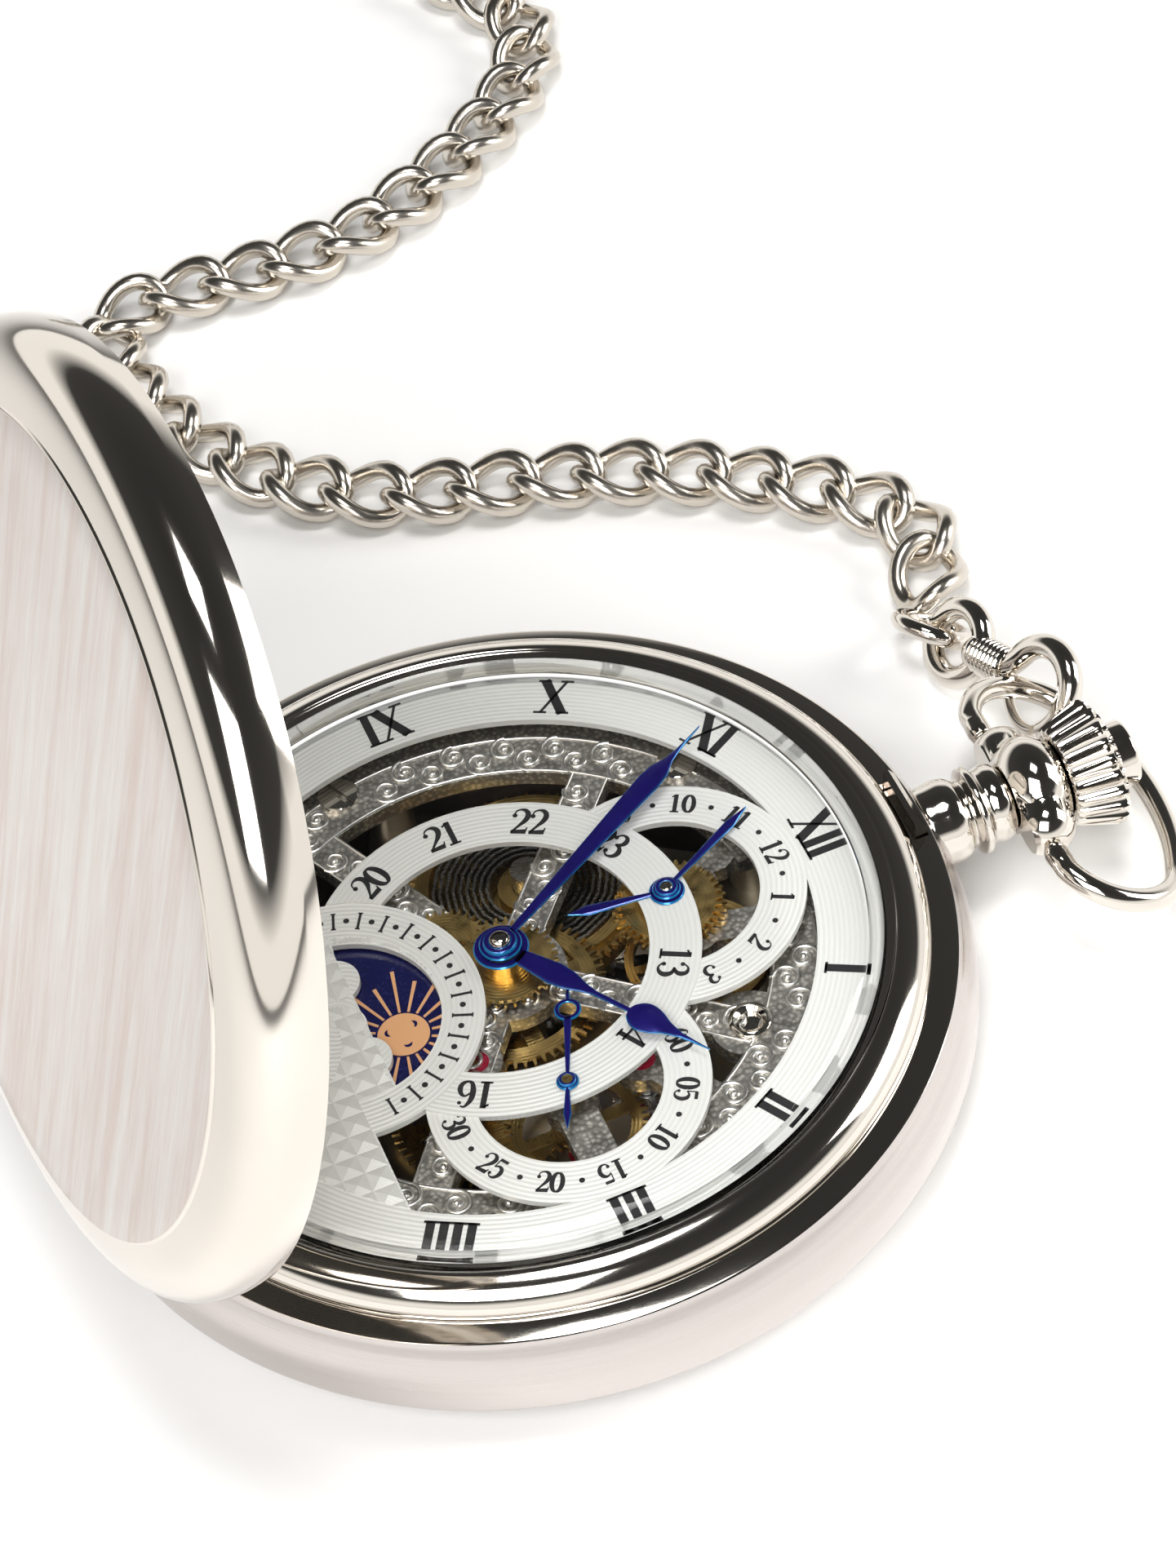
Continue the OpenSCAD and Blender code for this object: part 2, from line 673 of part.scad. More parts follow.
// The clouds that close the lower half of the day and night window
module clouds() {
  translate([-9, -19]) square([18, 10.6]);
  for (c = [[-2.6, -9.1, 1.5], [-5, -9.8, 1.5], [0.6, -9.9, 1.6], [3.2, -9.3, 1.5], [5.4, -9.8, 1.4]])
    translate([c[0], c[1]]) circle(c[2]);
}

module dial2d() {
  difference() {
    union() {
      difference() {
        circle(dial_r);
        circle(chapter_r);
      }
      difference() {
        union() {
          sub_ring(dual_at, sub_ring_ri);
          sub_ring(fourth_at, sub_ring_ri);
        }
        circle(day_ring_ri + 0.2);
      }
      difference() {
        circle(day_ring_ro - 0.1);
        circle(day_ring_ri + 0.1);
      }
      translate(day_at) circle(8.2);
      intersection() {
        circle(chapter_r + 0.5);
        translate([-dial_r, -dial_r]) square([2 * dial_r, dial_r + plate_edge_y]);
      }
    }
    difference() {
      translate(window_at) circle(window_r);
      clouds();
    }
    translate(dual_at) circle(0.75);
    translate(fourth_at) circle(0.5);
  }
}

module dial_plate() color(silver) translate([0, 0, 8.6]) linear_extrude(dial_z - 8.6) dial2d();

module day_ring() color(silver) translate([0, 0, dial_z]) linear_extrude(0.1) difference() {
  circle(day_ring_ro);
  circle(day_ring_ri);
  translate(day_at) circle(8.2);
  translate(dual_at) circle(0.75);
  translate(fourth_at) circle(0.5);
}

module sun_disc() color([0.07, 0.08, 0.25]) at(day_at) ring(6.2, 0, 8.1, 8.4);

// ---- Hands ----

module hand(angle, z, t, outline, hub, bore) {
  translate([0, 0, z]) rotate([0, 0, -angle]) difference() {
    union() {
      cylinder(r = hub, h = t);
      linear_extrude(t) polygon(outline);
    }
    translate([0, 0, -t]) cylinder(r = bore, h = 3 * t);
  }
}

module hour_hand() color(blued) hand(57.1, 9.72, 0.12, [[-0.5, 0], [-0.3, 4], [-0.25, 8.0],
  [-1.05, 8.9], [-1.15, 9.6], [-0.8, 10.4], [-0.18, 11.6], [0, hour_len], [0.18, 11.6],
  [0.8, 10.4], [1.15, 9.6], [1.05, 8.9], [0.25, 8.0], [0.3, 4], [0.5, 0]], 2.2, 1.1);

module minute_hand() color(blued) {
  hand(-31.1, 10.05, 0.12, [[-0.3, 0], [-0.32, 3], [-0.72, 14.2], [-0.6, 15], [-0.2, 15.8],
    [-0.12, 16.4], [0, minute_len], [0.12, 16.4], [0.2, 15.8], [0.6, 15], [0.72, 14.2],
    [0.32, 3], [0.3, 0]], 1.75, 0.7);
  rod(0.7, 10.17, 10.3);
  translate([0, 0, 10.17]) rotate_extrude() polygon([[0.7, 0], [1.25, 0], [1.2, 0.25],
    [0.9, 0.48], [0.45, 0.6], [0, 0.63], [0, 0.1], [0.7, 0.1]]);
}

module seconds_hand() color(blued) at(fourth_at) {
  translate([0, 0, 9.25]) rotate([0, 0, 68.4]) linear_extrude(0.1) difference() {
    union() {
      circle(0.95);
      polygon([[-0.2, 0], [-0.16, 4.2], [0.16, 4.2], [0.2, 0]]);
      polygon([[-0.16, 5.4], [0, seconds_len], [0.16, 5.4]]);
      polygon([[-0.3, 0], [-0.34, -2.4], [0, -3.2], [0.34, -2.4], [0.3, 0]]);
      translate([0, 4.84]) circle(0.95);
    }
    translate([0, 4.84]) circle(0.6);
    circle(arbor_r);
  }
  ring(0.55, arbor_r, 9.35, 9.5);
}

module dual_hour_hand() color(blued) at(dual_at)
  hand(189, 9.15, 0.1, [[-0.3, 0], [-0.34, 3.4], [-0.5, 3.9], [0, dual_hour_len], [0.5, 3.9],
    [0.34, 3.4], [0.3, 0]], 1.35, 0.6);

module dual_minute_hand() color(blued) at(dual_at) {
  hand(-28.5, 9.36, 0.1, [[-0.2, 0], [-0.34, 5.6], [0, dual_minute_len], [0.34, 5.6], [0.2, 0]],
    1.2, 0.32);
  ring(0.75, 0.32, 9.46, 9.6);
}

// ---- Swivel clasp and chain ----

// Children drawn along the clasp: X towards the hook, the hook's round in X and Z
module in_clasp() {
  translate(clasp_at) rotate([0, -clasp_pitch, clasp_turn]) rotate([clasp_roll, 0, 0]) children();
}

module torus(r, wire_r) {
  rotate_extrude() translate([r, 0]) circle(wire_r, $fn = 32);
}

module clasp_hook() color(steel) in_clasp() {
  pitch = (collar_x1 - collar_x0) / collar_ribs;
  rotate([0, 90, 0]) rotate_extrude() polygon(concat([[0, collar_x0]],
    [for (i = [0:collar_ribs - 1]) for (k = [[0, 0], [0, 0.5], [0.12, 0.75]])
      [collar_r - k[0], collar_x0 + pitch * (i + k[1])]],
    [[collar_r, collar_x1], [0, collar_x1]]));
  rotate([90, 0, 0]) tube(concat([[collar_x1 - 0.6, 0], [collar_x1 + 0.1, 0.25]],
    arc_pts(hook_x, hook_z, hook_r, 150, hook_end, 15)), hook_wire_r, hook_wire_r, 0, 12);
  for (s = [-1, 1]) translate([collar_x1 - 0.2, s * 0.6 - 0.12, gate_z - 0.3])
    cube([gate_x - collar_x1 + 0.55, 0.24, 0.6]);
  translate([gate_x, -0.7, gate_z]) rotate([-90, 0, 0]) cylinder(r = gate_pin_r, h = 1.4);
}

module clasp_gate() color(steel) in_clasp() difference() {
  union() {
    rotate([90, 0, 0]) tube(arc_pts(hook_x, hook_z, hook_r, gate_start, hook_end - gate_gap, 9),
      gate_wire_r, gate_wire_r, 0, 12);
    translate([gate_x, -0.44, gate_z]) rotate([-90, 0, 0]) cylinder(r = 0.45, h = 0.88);
  }
  translate([gate_x, -1, gate_z]) rotate([-90, 0, 0]) cylinder(r = gate_pin_r + run, h = 2);
}

module clasp_eye() color(steel) in_clasp() difference() {
  translate([eye_x, 0, 0]) rotate([90, 0, 0]) torus(eye_r, eye_wire_r);
  translate([eye_x1, -2, -2]) cube([2, 4, 4]);
}

module jump_ring() color(steel) in_clasp() translate([ring_x, 0, 0]) torus(ring_r, ring_wire_r);

// A tube swept along points, with rings square to the route
function tangent(p, i) =
  let (a = p[max(i - 1, 0)], b = p[min(i + 1, len(p) - 1)], d = b - a) d / norm(d);

module tube(p, rw, rz, z, sides) {
  n = len(p);
  pts = [for (i = [0:n - 1]) let (t = tangent(p, i), s = [-t[1], t[0]]) for (k = [0:sides - 1])
    let (a = 360 * k / sides)
      [p[i][0] + rw * cos(a) * s[0], p[i][1] + rw * cos(a) * s[1], z + rz * sin(a)]];
  faces = concat(
    [[for (k = [0:sides - 1]) k]],
    [for (i = [0:n - 2]) for (k = [0:sides - 1])
      [i * sides + k, (i + 1) * sides + k, (i + 1) * sides + (k + 1) % sides,
        i * sides + (k + 1) % sides]],
    [[for (k = [sides - 1:-1:0]) (n - 1) * sides + k]]);
  polyhedron(points = pts, faces = faces);
}

module chain_run() color(steel) tube(chain_route, chain_w / 2, chain_t / 2,
  chain_z, 8);

module chain_hank() color(steel) translate([hank_at[0], hank_at[1], 0])
  rotate([0, 0, hank_turn]) linear_extrude(chain_t) hull() {
    translate([hank_w / 2, 0]) circle(hank_w / 2, $fn = 48);
    translate([hank_len - hank_w / 2, 0]) circle(hank_w / 2, $fn = 48);
  }

module chain_ring() color(steel) translate([end_ring_at[0], end_ring_at[1], end_ring_wire_r])
  torus(end_ring_r, end_ring_wire_r);

module chain_bar() color(steel) translate([bar_at[0], bar_at[1], bar_end_r])
  rotate([0, 0, hank_turn]) {
    x_bar(bar_r, -bar_len / 2, bar_len / 2);
    for (s = [-1, 1]) translate([s * bar_len / 2, 0, 0]) sphere(bar_end_r, $fn = 32);
  }

mid_case();
rear_cover();
bezel();
crystal();
front_lid();
lid_hinge_pin();
lid_spring();
latch_spring();
lid_latch();
pendant_neck();
pendant_head();
bow();
crown();
crown_button();
winding_stem();
winding_pinion();
movement_ring();
main_plate();
train_bridge();
barrel_bridge();
balance_cock();
mainspring_barrel();
mainspring();
barrel_arbor();
ratchet_wheel();
crown_wheel();
click();
centre_wheel();
third_wheel();
fourth_wheel();
escape_wheel();
pallet_fork();
balance_wheel();
hairspring();
jewels();
plate_screws();
cannon_pinion();
hour_wheel();
minute_wheel();
dual_minute_wheel();
dual_hour_wheel();
day_wheel();
dial_plate();
day_ring();
sun_disc();
hour_hand();
minute_hand();
seconds_hand();
dual_hour_hand();
dual_minute_hand();
clasp_hook();
clasp_gate();
clasp_eye();
jump_ring();
chain_run();
chain_hank();
chain_ring();
chain_bar();
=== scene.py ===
import json
import random
from math import atan2, ceil, cos, hypot, pi, radians, sin, sqrt

import bmesh
import bpy
from mathutils import Matrix, Vector

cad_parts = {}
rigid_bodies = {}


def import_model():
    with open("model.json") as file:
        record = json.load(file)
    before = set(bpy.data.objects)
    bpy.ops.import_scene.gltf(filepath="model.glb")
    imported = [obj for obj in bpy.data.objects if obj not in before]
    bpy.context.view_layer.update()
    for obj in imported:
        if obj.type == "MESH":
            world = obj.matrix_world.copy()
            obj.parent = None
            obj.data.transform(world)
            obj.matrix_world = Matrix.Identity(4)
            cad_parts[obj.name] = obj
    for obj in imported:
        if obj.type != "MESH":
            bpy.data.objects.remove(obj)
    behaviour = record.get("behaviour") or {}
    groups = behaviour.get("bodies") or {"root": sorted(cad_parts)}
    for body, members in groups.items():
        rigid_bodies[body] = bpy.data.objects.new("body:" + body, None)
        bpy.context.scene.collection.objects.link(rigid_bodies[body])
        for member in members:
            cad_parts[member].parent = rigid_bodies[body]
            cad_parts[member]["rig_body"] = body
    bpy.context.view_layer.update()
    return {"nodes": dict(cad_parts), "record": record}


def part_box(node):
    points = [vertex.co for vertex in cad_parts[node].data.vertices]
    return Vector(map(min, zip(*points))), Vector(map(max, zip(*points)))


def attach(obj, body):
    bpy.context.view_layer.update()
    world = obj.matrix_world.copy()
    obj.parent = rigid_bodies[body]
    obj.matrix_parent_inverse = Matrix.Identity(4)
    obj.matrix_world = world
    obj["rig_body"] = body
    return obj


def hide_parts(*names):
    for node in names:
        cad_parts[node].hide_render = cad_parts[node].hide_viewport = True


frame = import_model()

# A hunter pocket watch lying on its back with the front lid open.
# Lengths are in millimetres until a mesh is made; the frame is in metres.
MM = 0.001
Y, Z = Vector((0, 1, 0)), Vector((0, 0, 1))
random.seed(7)


# ---- Where the CAD says things are ----

def lo_mm(node):
    return Vector(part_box(node)[0]) / MM


def hi_mm(node):
    return Vector(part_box(node)[1]) / MM


def joint(name):
    return next(j for j in frame["record"]["behaviour"]["joints"] if j["name"] == name)


def joint_at(name):
    return Vector(joint(name)["pos_m"]) / MM


CASE_R = hi_mm("mid_case").x
LEDGE_Z = lo_mm("bezel").z
DIAL_Z = hi_mm("dial_plate").z
DIAL_R = hi_mm("dial_plate").x
DAY_RING_Z = hi_mm("day_ring").z
CENTRE = Vector((0, 0, 0))
SECONDS_AT = joint_at("seconds_turn")
DUAL_AT = joint_at("dual_minute_turn")
DAY_AT = joint_at("day_turn")
BALANCE_AT = joint_at("balance_swing")
PENDANT_Z = joint_at("crown_turn").z
BOW_AT = joint_at("bow_swing")
HINGE_AT = joint_at("lid_hinge")
HINGE_AXIS = Vector(joint("lid_hinge")["axis"])
LID_OPEN = -radians(joint("lid_hinge")["range_deg"][0])


# ---- Meshes ----

def make(name, verts, faces, material, body, angle=35, replaces=()):
    """One piece: its points in millimetres, its material and the body that it rides on."""
    mesh = bpy.data.meshes.new(name)
    mesh.from_pydata([tuple(Vector(v) * MM) for v in verts], [], faces)
    mesh.materials.append(material)
    mesh.validate()
    shell = bmesh.new()
    shell.from_mesh(mesh)
    bmesh.ops.recalc_face_normals(shell, faces=shell.faces)
    shell.to_mesh(mesh)
    shell.free()
    mesh.polygons.foreach_set("use_smooth", [True] * len(mesh.polygons))
    mesh.set_sharp_from_angle(angle=radians(angle))
    obj = bpy.data.objects.new(name, mesh)
    bpy.context.collection.objects.link(obj)
    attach(obj, body)
    if replaces:
        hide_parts(*replaces)
    return obj


class Shape:
    """Points and faces gathered from several forms, in millimetres."""

    def __init__(self):
        self.verts, self.faces = [], []

    def add(self, verts, faces, place=None):
        base = len(self.verts)
        self.verts += [place @ Vector(v) if place else Vector(v) for v in verts]
        self.faces += [tuple(base + i for i in f) for f in faces]
        return self

    def done(self, name, material, body, **options):
        return make(name, self.verts, self.faces, material, body, **options)


def lathe(profile, segs=192, wave=None):
    """A closed outline of (radius, height) points turned about Z; wave scales the radius."""
    n, verts, faces = len(profile), [], []
    for k in range(segs):
        a = 2 * pi * k / segs
        for r, z in profile:
            s = wave(a, r, z) if wave else 1
            verts.append((r * s * cos(a), r * s * sin(a), z))
    for k in range(segs):
        a, b = k * n, (k + 1) % segs * n
        for i in range(n):
            j = (i + 1) % n
            faces.append((a + i, b + i, b + j, a + j))
    return merge(verts, faces)


def merge(verts, faces):
    """The same mesh with points that coincide made one, and faces without area left out."""
    seen, index, out = {}, [], []
    for v in verts:
        key = tuple(round(c, 5) for c in v)
        if key not in seen:
            seen[key] = len(out)
            out.append(v)
        index.append(seen[key])
    kept = []
    for f in faces:
        g = []
        for i in (index[i] for i in f):
            if not g or g[-1] != i:
                g.append(i)
        if len(g) > 1 and g[0] == g[-1]:
            g.pop()
        if len(g) > 2:
            kept.append(tuple(g))
    return out, kept


def rounded(points, radius, steps=4):
    """A closed outline with its corners eased."""
    out, n = [], len(points)
    for i, p in enumerate(points):
        p, a, b = Vector(p), Vector(points[i - 1]), Vector(points[(i + 1) % n])
        da, db = (a - p).length, (b - p).length
        cut = min(radius, da * 0.45, db * 0.45)
        if cut < 0.01 or p.x == 0:
            out.append(tuple(p))
            continue
        s, e = p + (a - p) * cut / da, p + (b - p) * cut / db
        for k in range(steps + 1):
            t = k / steps
            out.append(tuple(s * (1 - t) ** 2 + p * 2 * t * (1 - t) + e * t * t))
    return out


def bezier(p0, p1, p2, n):
    p0, p1, p2 = Vector(p0), Vector(p1), Vector(p2)
    return [tuple(p0 * (1 - t) ** 2 + p1 * 2 * t * (1 - t) + p2 * t * t)
            for t in (i / n for i in range(n + 1))]


def smooth_path(points, step):
    """A Catmull-Rom curve through the points, sampled about every step."""
    pts = [Vector(p) for p in points]
    pts = [2 * pts[0] - pts[1]] + pts + [2 * pts[-1] - pts[-2]]
    out = []
    for i in range(1, len(pts) - 2):
        p0, p1, p2, p3 = pts[i - 1:i + 3]
        n = max(1, ceil((p2 - p1).length / step))
        for k in range(n):
            t = k / n
            out.append(0.5 * (2 * p1 + (p2 - p0) * t + (2 * p0 - 5 * p1 + 4 * p2 - p3) * t * t
                              + (3 * p1 - p0 - 3 * p2 + p3) * t ** 3))
    return out + [pts[-2]]


def tube(path, radius, sides=12, closed=False, up=Z, flat=1.0):
    """A tube along a path. radius is a number or a function of the share of the way along."""
    pts, n = [Vector(p) for p in path], len(path)
    middle = sum(pts, Vector()) / n
    verts, faces, side = [], [], None
    for i, p in enumerate(pts):
        a = pts[i - 1] if closed or i > 0 else p
        b = pts[(i + 1) % n] if closed or i < n - 1 else p
        t = (b - a).normalized()
        ref = p - middle if closed else side or t.cross(up)
        side = (ref - t * ref.dot(t)).normalized()
        lift = t.cross(side)
        r = radius(i / (n - 1)) if callable(radius) else radius
        for k in range(sides):
            c = 2 * pi * k / sides
            verts.append(p + side * (r * cos(c)) + lift * (r * flat * sin(c)))
    for i in range(n if closed else n - 1):
        a, b = i * sides, (i + 1) % n * sides
        for k in range(sides):
            m = (k + 1) % sides
            faces.append((a + k, a + m, b + m, b + k))
    if not closed:
        faces.append(tuple(range(sides - 1, -1, -1)))
        faces.append(tuple((n - 1) * sides + k for k in range(sides)))
    return verts, faces


def torus(r, wire, segs=72, sides=16, flat=1.0):
    circle = [(r * cos(2 * pi * i / segs), r * sin(2 * pi * i / segs), 0) for i in range(segs)]
    return tube(circle, wire, sides, closed=True, flat=flat)


def slab(outline, z0, z1, bevel=0.0):
    """A flat blade from an outline, with its top edge bevelled."""
    n = len(outline)
    c = sum((Vector(p) for p in outline), Vector((0, 0))) / n
    top = []
    for i, p in enumerate(outline):
        p, a, b = Vector(p), Vector(outline[i - 1]), Vector(outline[(i + 1) % n])
        ea, eb = (p - a).normalized(), (b - p).normalized()
        normal = Vector((-(ea + eb).y, (ea + eb).x))
        normal = normal.normalized() if normal.length > 0.01 else (c - p).normalized()
        top.append(p + normal * bevel)
    verts = [(p[0], p[1], z0) for p in outline]
    verts += [(p[0], p[1], z1 - bevel) for p in outline]
    verts += [(p.x, p.y, z1) for p in top]
    faces = [tuple(range(n - 1, -1, -1)), tuple(range(2 * n, 3 * n))]
    for i in range(n):
        j = (i + 1) % n
        faces += [(i, j, n + j, n + i), (n + i, n + j, 2 * n + j, 2 * n + i)]
    return verts, faces


def turn(axis, angle, about=CENTRE):
    """The matrix of a turn about an axis through a point."""
    return Matrix.Translation(about) @ Matrix.Rotation(angle, 4, axis) @ Matrix.Translation(-about)


def place(origin, x_axis, z_axis):
    """The matrix that carries local X and Z to the two directions, at an origin."""
    x = x_axis.normalized()
    y = z_axis.cross(x).normalized()
    z = x.cross(y)
    m = Matrix((x, y, z)).transposed().to_4x4()
    m.translation = origin
    return m


# From the profile's Z to the pendant's axis, which is Y
TO_PENDANT = Matrix.Translation((0, 0, PENDANT_Z)) @ Matrix.Rotation(-pi / 2, 4, "X")
OPENED = turn(HINGE_AXIS, LID_OPEN, HINGE_AT)


# ---- Materials ----

def shader(name, color, metallic=1.0, rough=0.1, **inputs):
    """A Principled material and the two nodes that the callers build on."""
    m = bpy.data.materials.new(name)
    m.use_nodes = True
    b = m.node_tree.nodes["Principled BSDF"]
    b.inputs["Base Color"].default_value = (*color, 1)
    b.inputs["Metallic"].default_value = metallic
    b.inputs["Roughness"].default_value = rough
    for key, value in inputs.items():
        b.inputs[key.replace("_", " ")].default_value = value
    return m, m.node_tree, b


def node(tree, kind, **settings):
    n = tree.nodes.new(kind)
    for key, value in settings.items():
        if key in n.inputs:
            n.inputs[key].default_value = value
        else:
            setattr(n, key, value)
    return n


def drive(tree, target, **values):
    """Links values to the inputs of those names."""
    for key, value in values.items():
        tree.links.new(value, target.inputs[key.replace("_", " ")])


def dim(color, share):
    return tuple(c * share for c in color)


def coords(tree, stretch=(1, 1, 1), centre=(0, 0, 0), turn_z=0.0):
    """Object coordinates in millimetres, from a centre, stretched along the axes."""
    source = node(tree, "ShaderNodeTexCoord").outputs["Object"]
    m = node(tree, "ShaderNodeMapping", vector_type="TEXTURE")
    m.inputs["Location"].default_value = tuple(c * MM for c in centre)
    m.inputs["Rotation"].default_value = (0, 0, turn_z)
    m.inputs["Scale"].default_value = tuple(MM / s for s in stretch)
    tree.links.new(source, m.inputs["Vector"])
    return m.outputs["Vector"]


def noise(tree, vector, scale, detail=3.0, rough=0.5):
    n = node(tree, "ShaderNodeTexNoise")
    n.inputs["Scale"].default_value = scale
    n.inputs["Detail"].default_value = detail
    n.inputs["Roughness"].default_value = rough
    tree.links.new(vector, n.inputs["Vector"])
    return n.outputs["Fac"]


def spread(tree, value, low, high, from_low=0.3, from_high=0.7):
    """A value mapped from one range to another."""
    r = node(tree, "ShaderNodeMapRange")
    for key, v in (("From Min", from_low), ("From Max", from_high), ("To Min", low), ("To Max", high)):
        r.inputs[key].default_value = v
    tree.links.new(value, r.inputs["Value"])
    return r.outputs["Result"]


def mix_color(tree, factor, a, b):
    m = node(tree, "ShaderNodeMix", data_type="RGBA")
    m.inputs["A"].default_value = (*a, 1)
    m.inputs["B"].default_value = (*b, 1)
    tree.links.new(factor, m.inputs["Factor"])
    return m.outputs["Result"]


def math(tree, operation, a, b=None):
    m = node(tree, "ShaderNodeMath", operation=operation)
    for i, v in enumerate((a, b)):
        if v is None:
            continue
        if isinstance(v, (int, float)):
            m.inputs[i].default_value = v
        else:
            tree.links.new(v, m.inputs[i])
    return m.outputs[0]


def bump(tree, target, height, strength, depth=0.02):
    """Height in, normal out to the shader; depth in millimetres."""
    b = node(tree, "ShaderNodeBump")
    b.inputs["Strength"].default_value = strength
    b.inputs["Distance"].default_value = depth * MM
    tree.links.new(height, b.inputs["Height"])
    tree.links.new(b.outputs["Normal"], target.inputs["Normal"])


def distance(tree, centre):
    """Distance in the dial's plane from a centre, in millimetres."""
    flat = node(tree, "ShaderNodeVectorMath", operation="MULTIPLY")
    flat.inputs[1].default_value = (1, 1, 0)
    tree.links.new(coords(tree, centre=centre), flat.inputs[0])
    dist = node(tree, "ShaderNodeVectorMath", operation="LENGTH")
    tree.links.new(flat.outputs[0], dist.inputs[0])
    return dist.outputs["Value"]


def ring_wave(tree, centre, pitch):
    """Concentric grooves about a centre."""
    return math(tree, "SINE", math(tree, "MULTIPLY", distance(tree, centre), 2 * pi / pitch))


def polished(name, color, rough=0.05, handled=0.05):
    """Mirror-polished metal with faint handling haze and hairlines."""
    m, tree, b = shader(name, color, 1.0, rough)
    haze = noise(tree, coords(tree), 0.22, 4)
    fine = noise(tree, coords(tree, (0.5, 6, 6), turn_z=0.6), 3.0, 2)
    both = math(tree, "ADD", math(tree, "MULTIPLY", haze, 0.7), math(tree, "MULTIPLY", fine, 0.3))
    drive(tree, b, Roughness=spread(tree, both, rough, rough + handled),
          Base_Color=mix_color(tree, haze, color, dim(color, 0.94)))
    bump(tree, b, fine, 0.05, 0.004)
    return m


def satin(name, color, rough, stretch, scale=2.0, depth=0.01, turn_z=0.0, tint=None):
    """Metal brushed along the directions with the small stretch, with broad bands of a tint."""
    m, tree, b = shader(name, color, 1.0, rough)
    streak = noise(tree, coords(tree, stretch, turn_z=turn_z), scale, 5, 0.6)
    broad = noise(tree, coords(tree, tuple(s * 0.12 for s in stretch), turn_z=turn_z), 1.0, 4, 0.7)
    drive(tree, b, Roughness=spread(tree, streak, rough - 0.07, rough + 0.1),
          Base_Color=mix_color(tree, spread(tree, broad, 0, 1, 0.35, 0.65), color,
                               tint or dim(color, 0.93)))
    bump(tree, b, streak, 0.25, depth)
    return m


def grooved(name, color, pitch, rough=0.3, metallic=0.1, strength=0.5, locals_at=()):
    """Silvered dial surface: grooves about the dial's centre, and about others within a reach, with
    painted shade darkening each groove's trough.
    """
    m, tree, b = shader(name, color, metallic, rough)
    wave = ring_wave(tree, (0, 0, 0), pitch)
    for centre, reach in locals_at:
        near = math(tree, "LESS_THAN", distance(tree, centre), reach)
        apart = math(tree, "SUBTRACT", ring_wave(tree, centre, pitch), wave)
        wave = math(tree, "ADD", wave, math(tree, "MULTIPLY", near, apart))
    grain = noise(tree, coords(tree), 9.0, 2)
    height = math(tree, "ADD", wave, math(tree, "MULTIPLY", grain, 0.4))
    # Painted shade: the colour dims in step with the groove wave, darkest where the groove is deepest.
    drive(tree, b, Base_Color=mix_color(tree, spread(tree, wave, 0, 1, -1, 1), dim(color, 0.93), color))
    bump(tree, b, height, strength, 0.02)
    return m


def engraved(name, color, rough=0.36):
    """Plated movement metal, stippled between its engraving."""
    m, tree, b = shader(name, color, 1.0, rough)
    cells = node(tree, "ShaderNodeTexVoronoi")
    cells.inputs["Scale"].default_value = 3.4
    tree.links.new(coords(tree), cells.inputs["Vector"])
    cloud = noise(tree, coords(tree), 0.8, 4)
    drive(tree, b, Roughness=spread(tree, cloud, rough, rough + 0.2),
          Base_Color=mix_color(tree, spread(tree, cells.outputs["Distance"], 0, 1, 0.1, 0.6),
                               color, dim(color, 0.45)))
    bump(tree, b, cells.outputs["Distance"], 0.5, 0.05)
    return m


def printed(name, color):
    """Slightly raised printing ink."""
    m, tree, b = shader(name, color, 0.0, 0.45)
    grain = noise(tree, coords(tree), 12.0, 2)
    drive(tree, b, Roughness=spread(tree, grain, 0.35, 0.6),
          Base_Color=mix_color(tree, grain, color, tuple(c + 0.012 for c in color)))
    bump(tree, b, grain, 0.15, 0.005)
    return m


def enamel(name, color, speck):
    """Glossy enamel with a fine sparkle in it."""
    m, tree, b = shader(name, color, 0.0, 0.18, Coat_Weight=0.7, Coat_Roughness=0.04)
    grain = noise(tree, coords(tree), 6.0, 2)
    cloud = noise(tree, coords(tree), 0.9, 3)
    drive(tree, b, Roughness=spread(tree, cloud, 0.12, 0.3),
          Base_Color=mix_color(tree, spread(tree, grain, 0, 1, 0.58, 0.75), color, speck))
    bump(tree, b, grain, 0.06, 0.004)
    return m


def blued(name):
    """Heat-blued steel: deep blue on the flat, and a painted highlight of lighter, cooler blue on the
    bevels, keyed to how far each face tilts from flat.
    """
    m, tree, b = shader(name, (0.012, 0.02, 0.42), 0.45, 0.16, Coat_Weight=0.5,
                        Coat_Roughness=0.06)
    bloom = noise(tree, coords(tree), 0.5, 3)
    normal = node(tree, "ShaderNodeSeparateXYZ")
    tree.links.new(node(tree, "ShaderNodeTexCoord").outputs["Normal"], normal.inputs[0])
    # Painted highlight: the more a face tilts from flat, the more light cyan it gets, as if its bevel
    # caught the light.
    bevel_highlight = spread(tree, math(tree, "ABSOLUTE", normal.outputs["Z"]), 1, 0, 0.72, 0.97)
    tone = mix_color(tree, bloom, (0.014, 0.008, 0.15), (0.022, 0.014, 0.24))
    mixed = node(tree, "ShaderNodeMix", data_type="RGBA")
    mixed.inputs["B"].default_value = (0.01, 0.26, 0.62, 1)
    drive(tree, mixed, Factor=bevel_highlight, A=tone)
    drive(tree, b, Base_Color=mixed.outputs["Result"], Roughness=spread(tree, bloom, 0.1, 0.22))
    return m


def turned_brass(name, centre, color, rough=0.28):
    """Gilt brass with circular graining about its arbor."""
    m, tree, b = shader(name, color, 1.0, rough)
    cloud = noise(tree, coords(tree), 1.1, 4)
    drive(tree, b, Base_Color=mix_color(tree, cloud, color, dim(color, 0.62)),
          Roughness=spread(tree, cloud, rough - 0.05, rough + 0.15))
    bump(tree, b, ring_wave(tree, centre, 0.21), 0.3, 0.01)
    return m


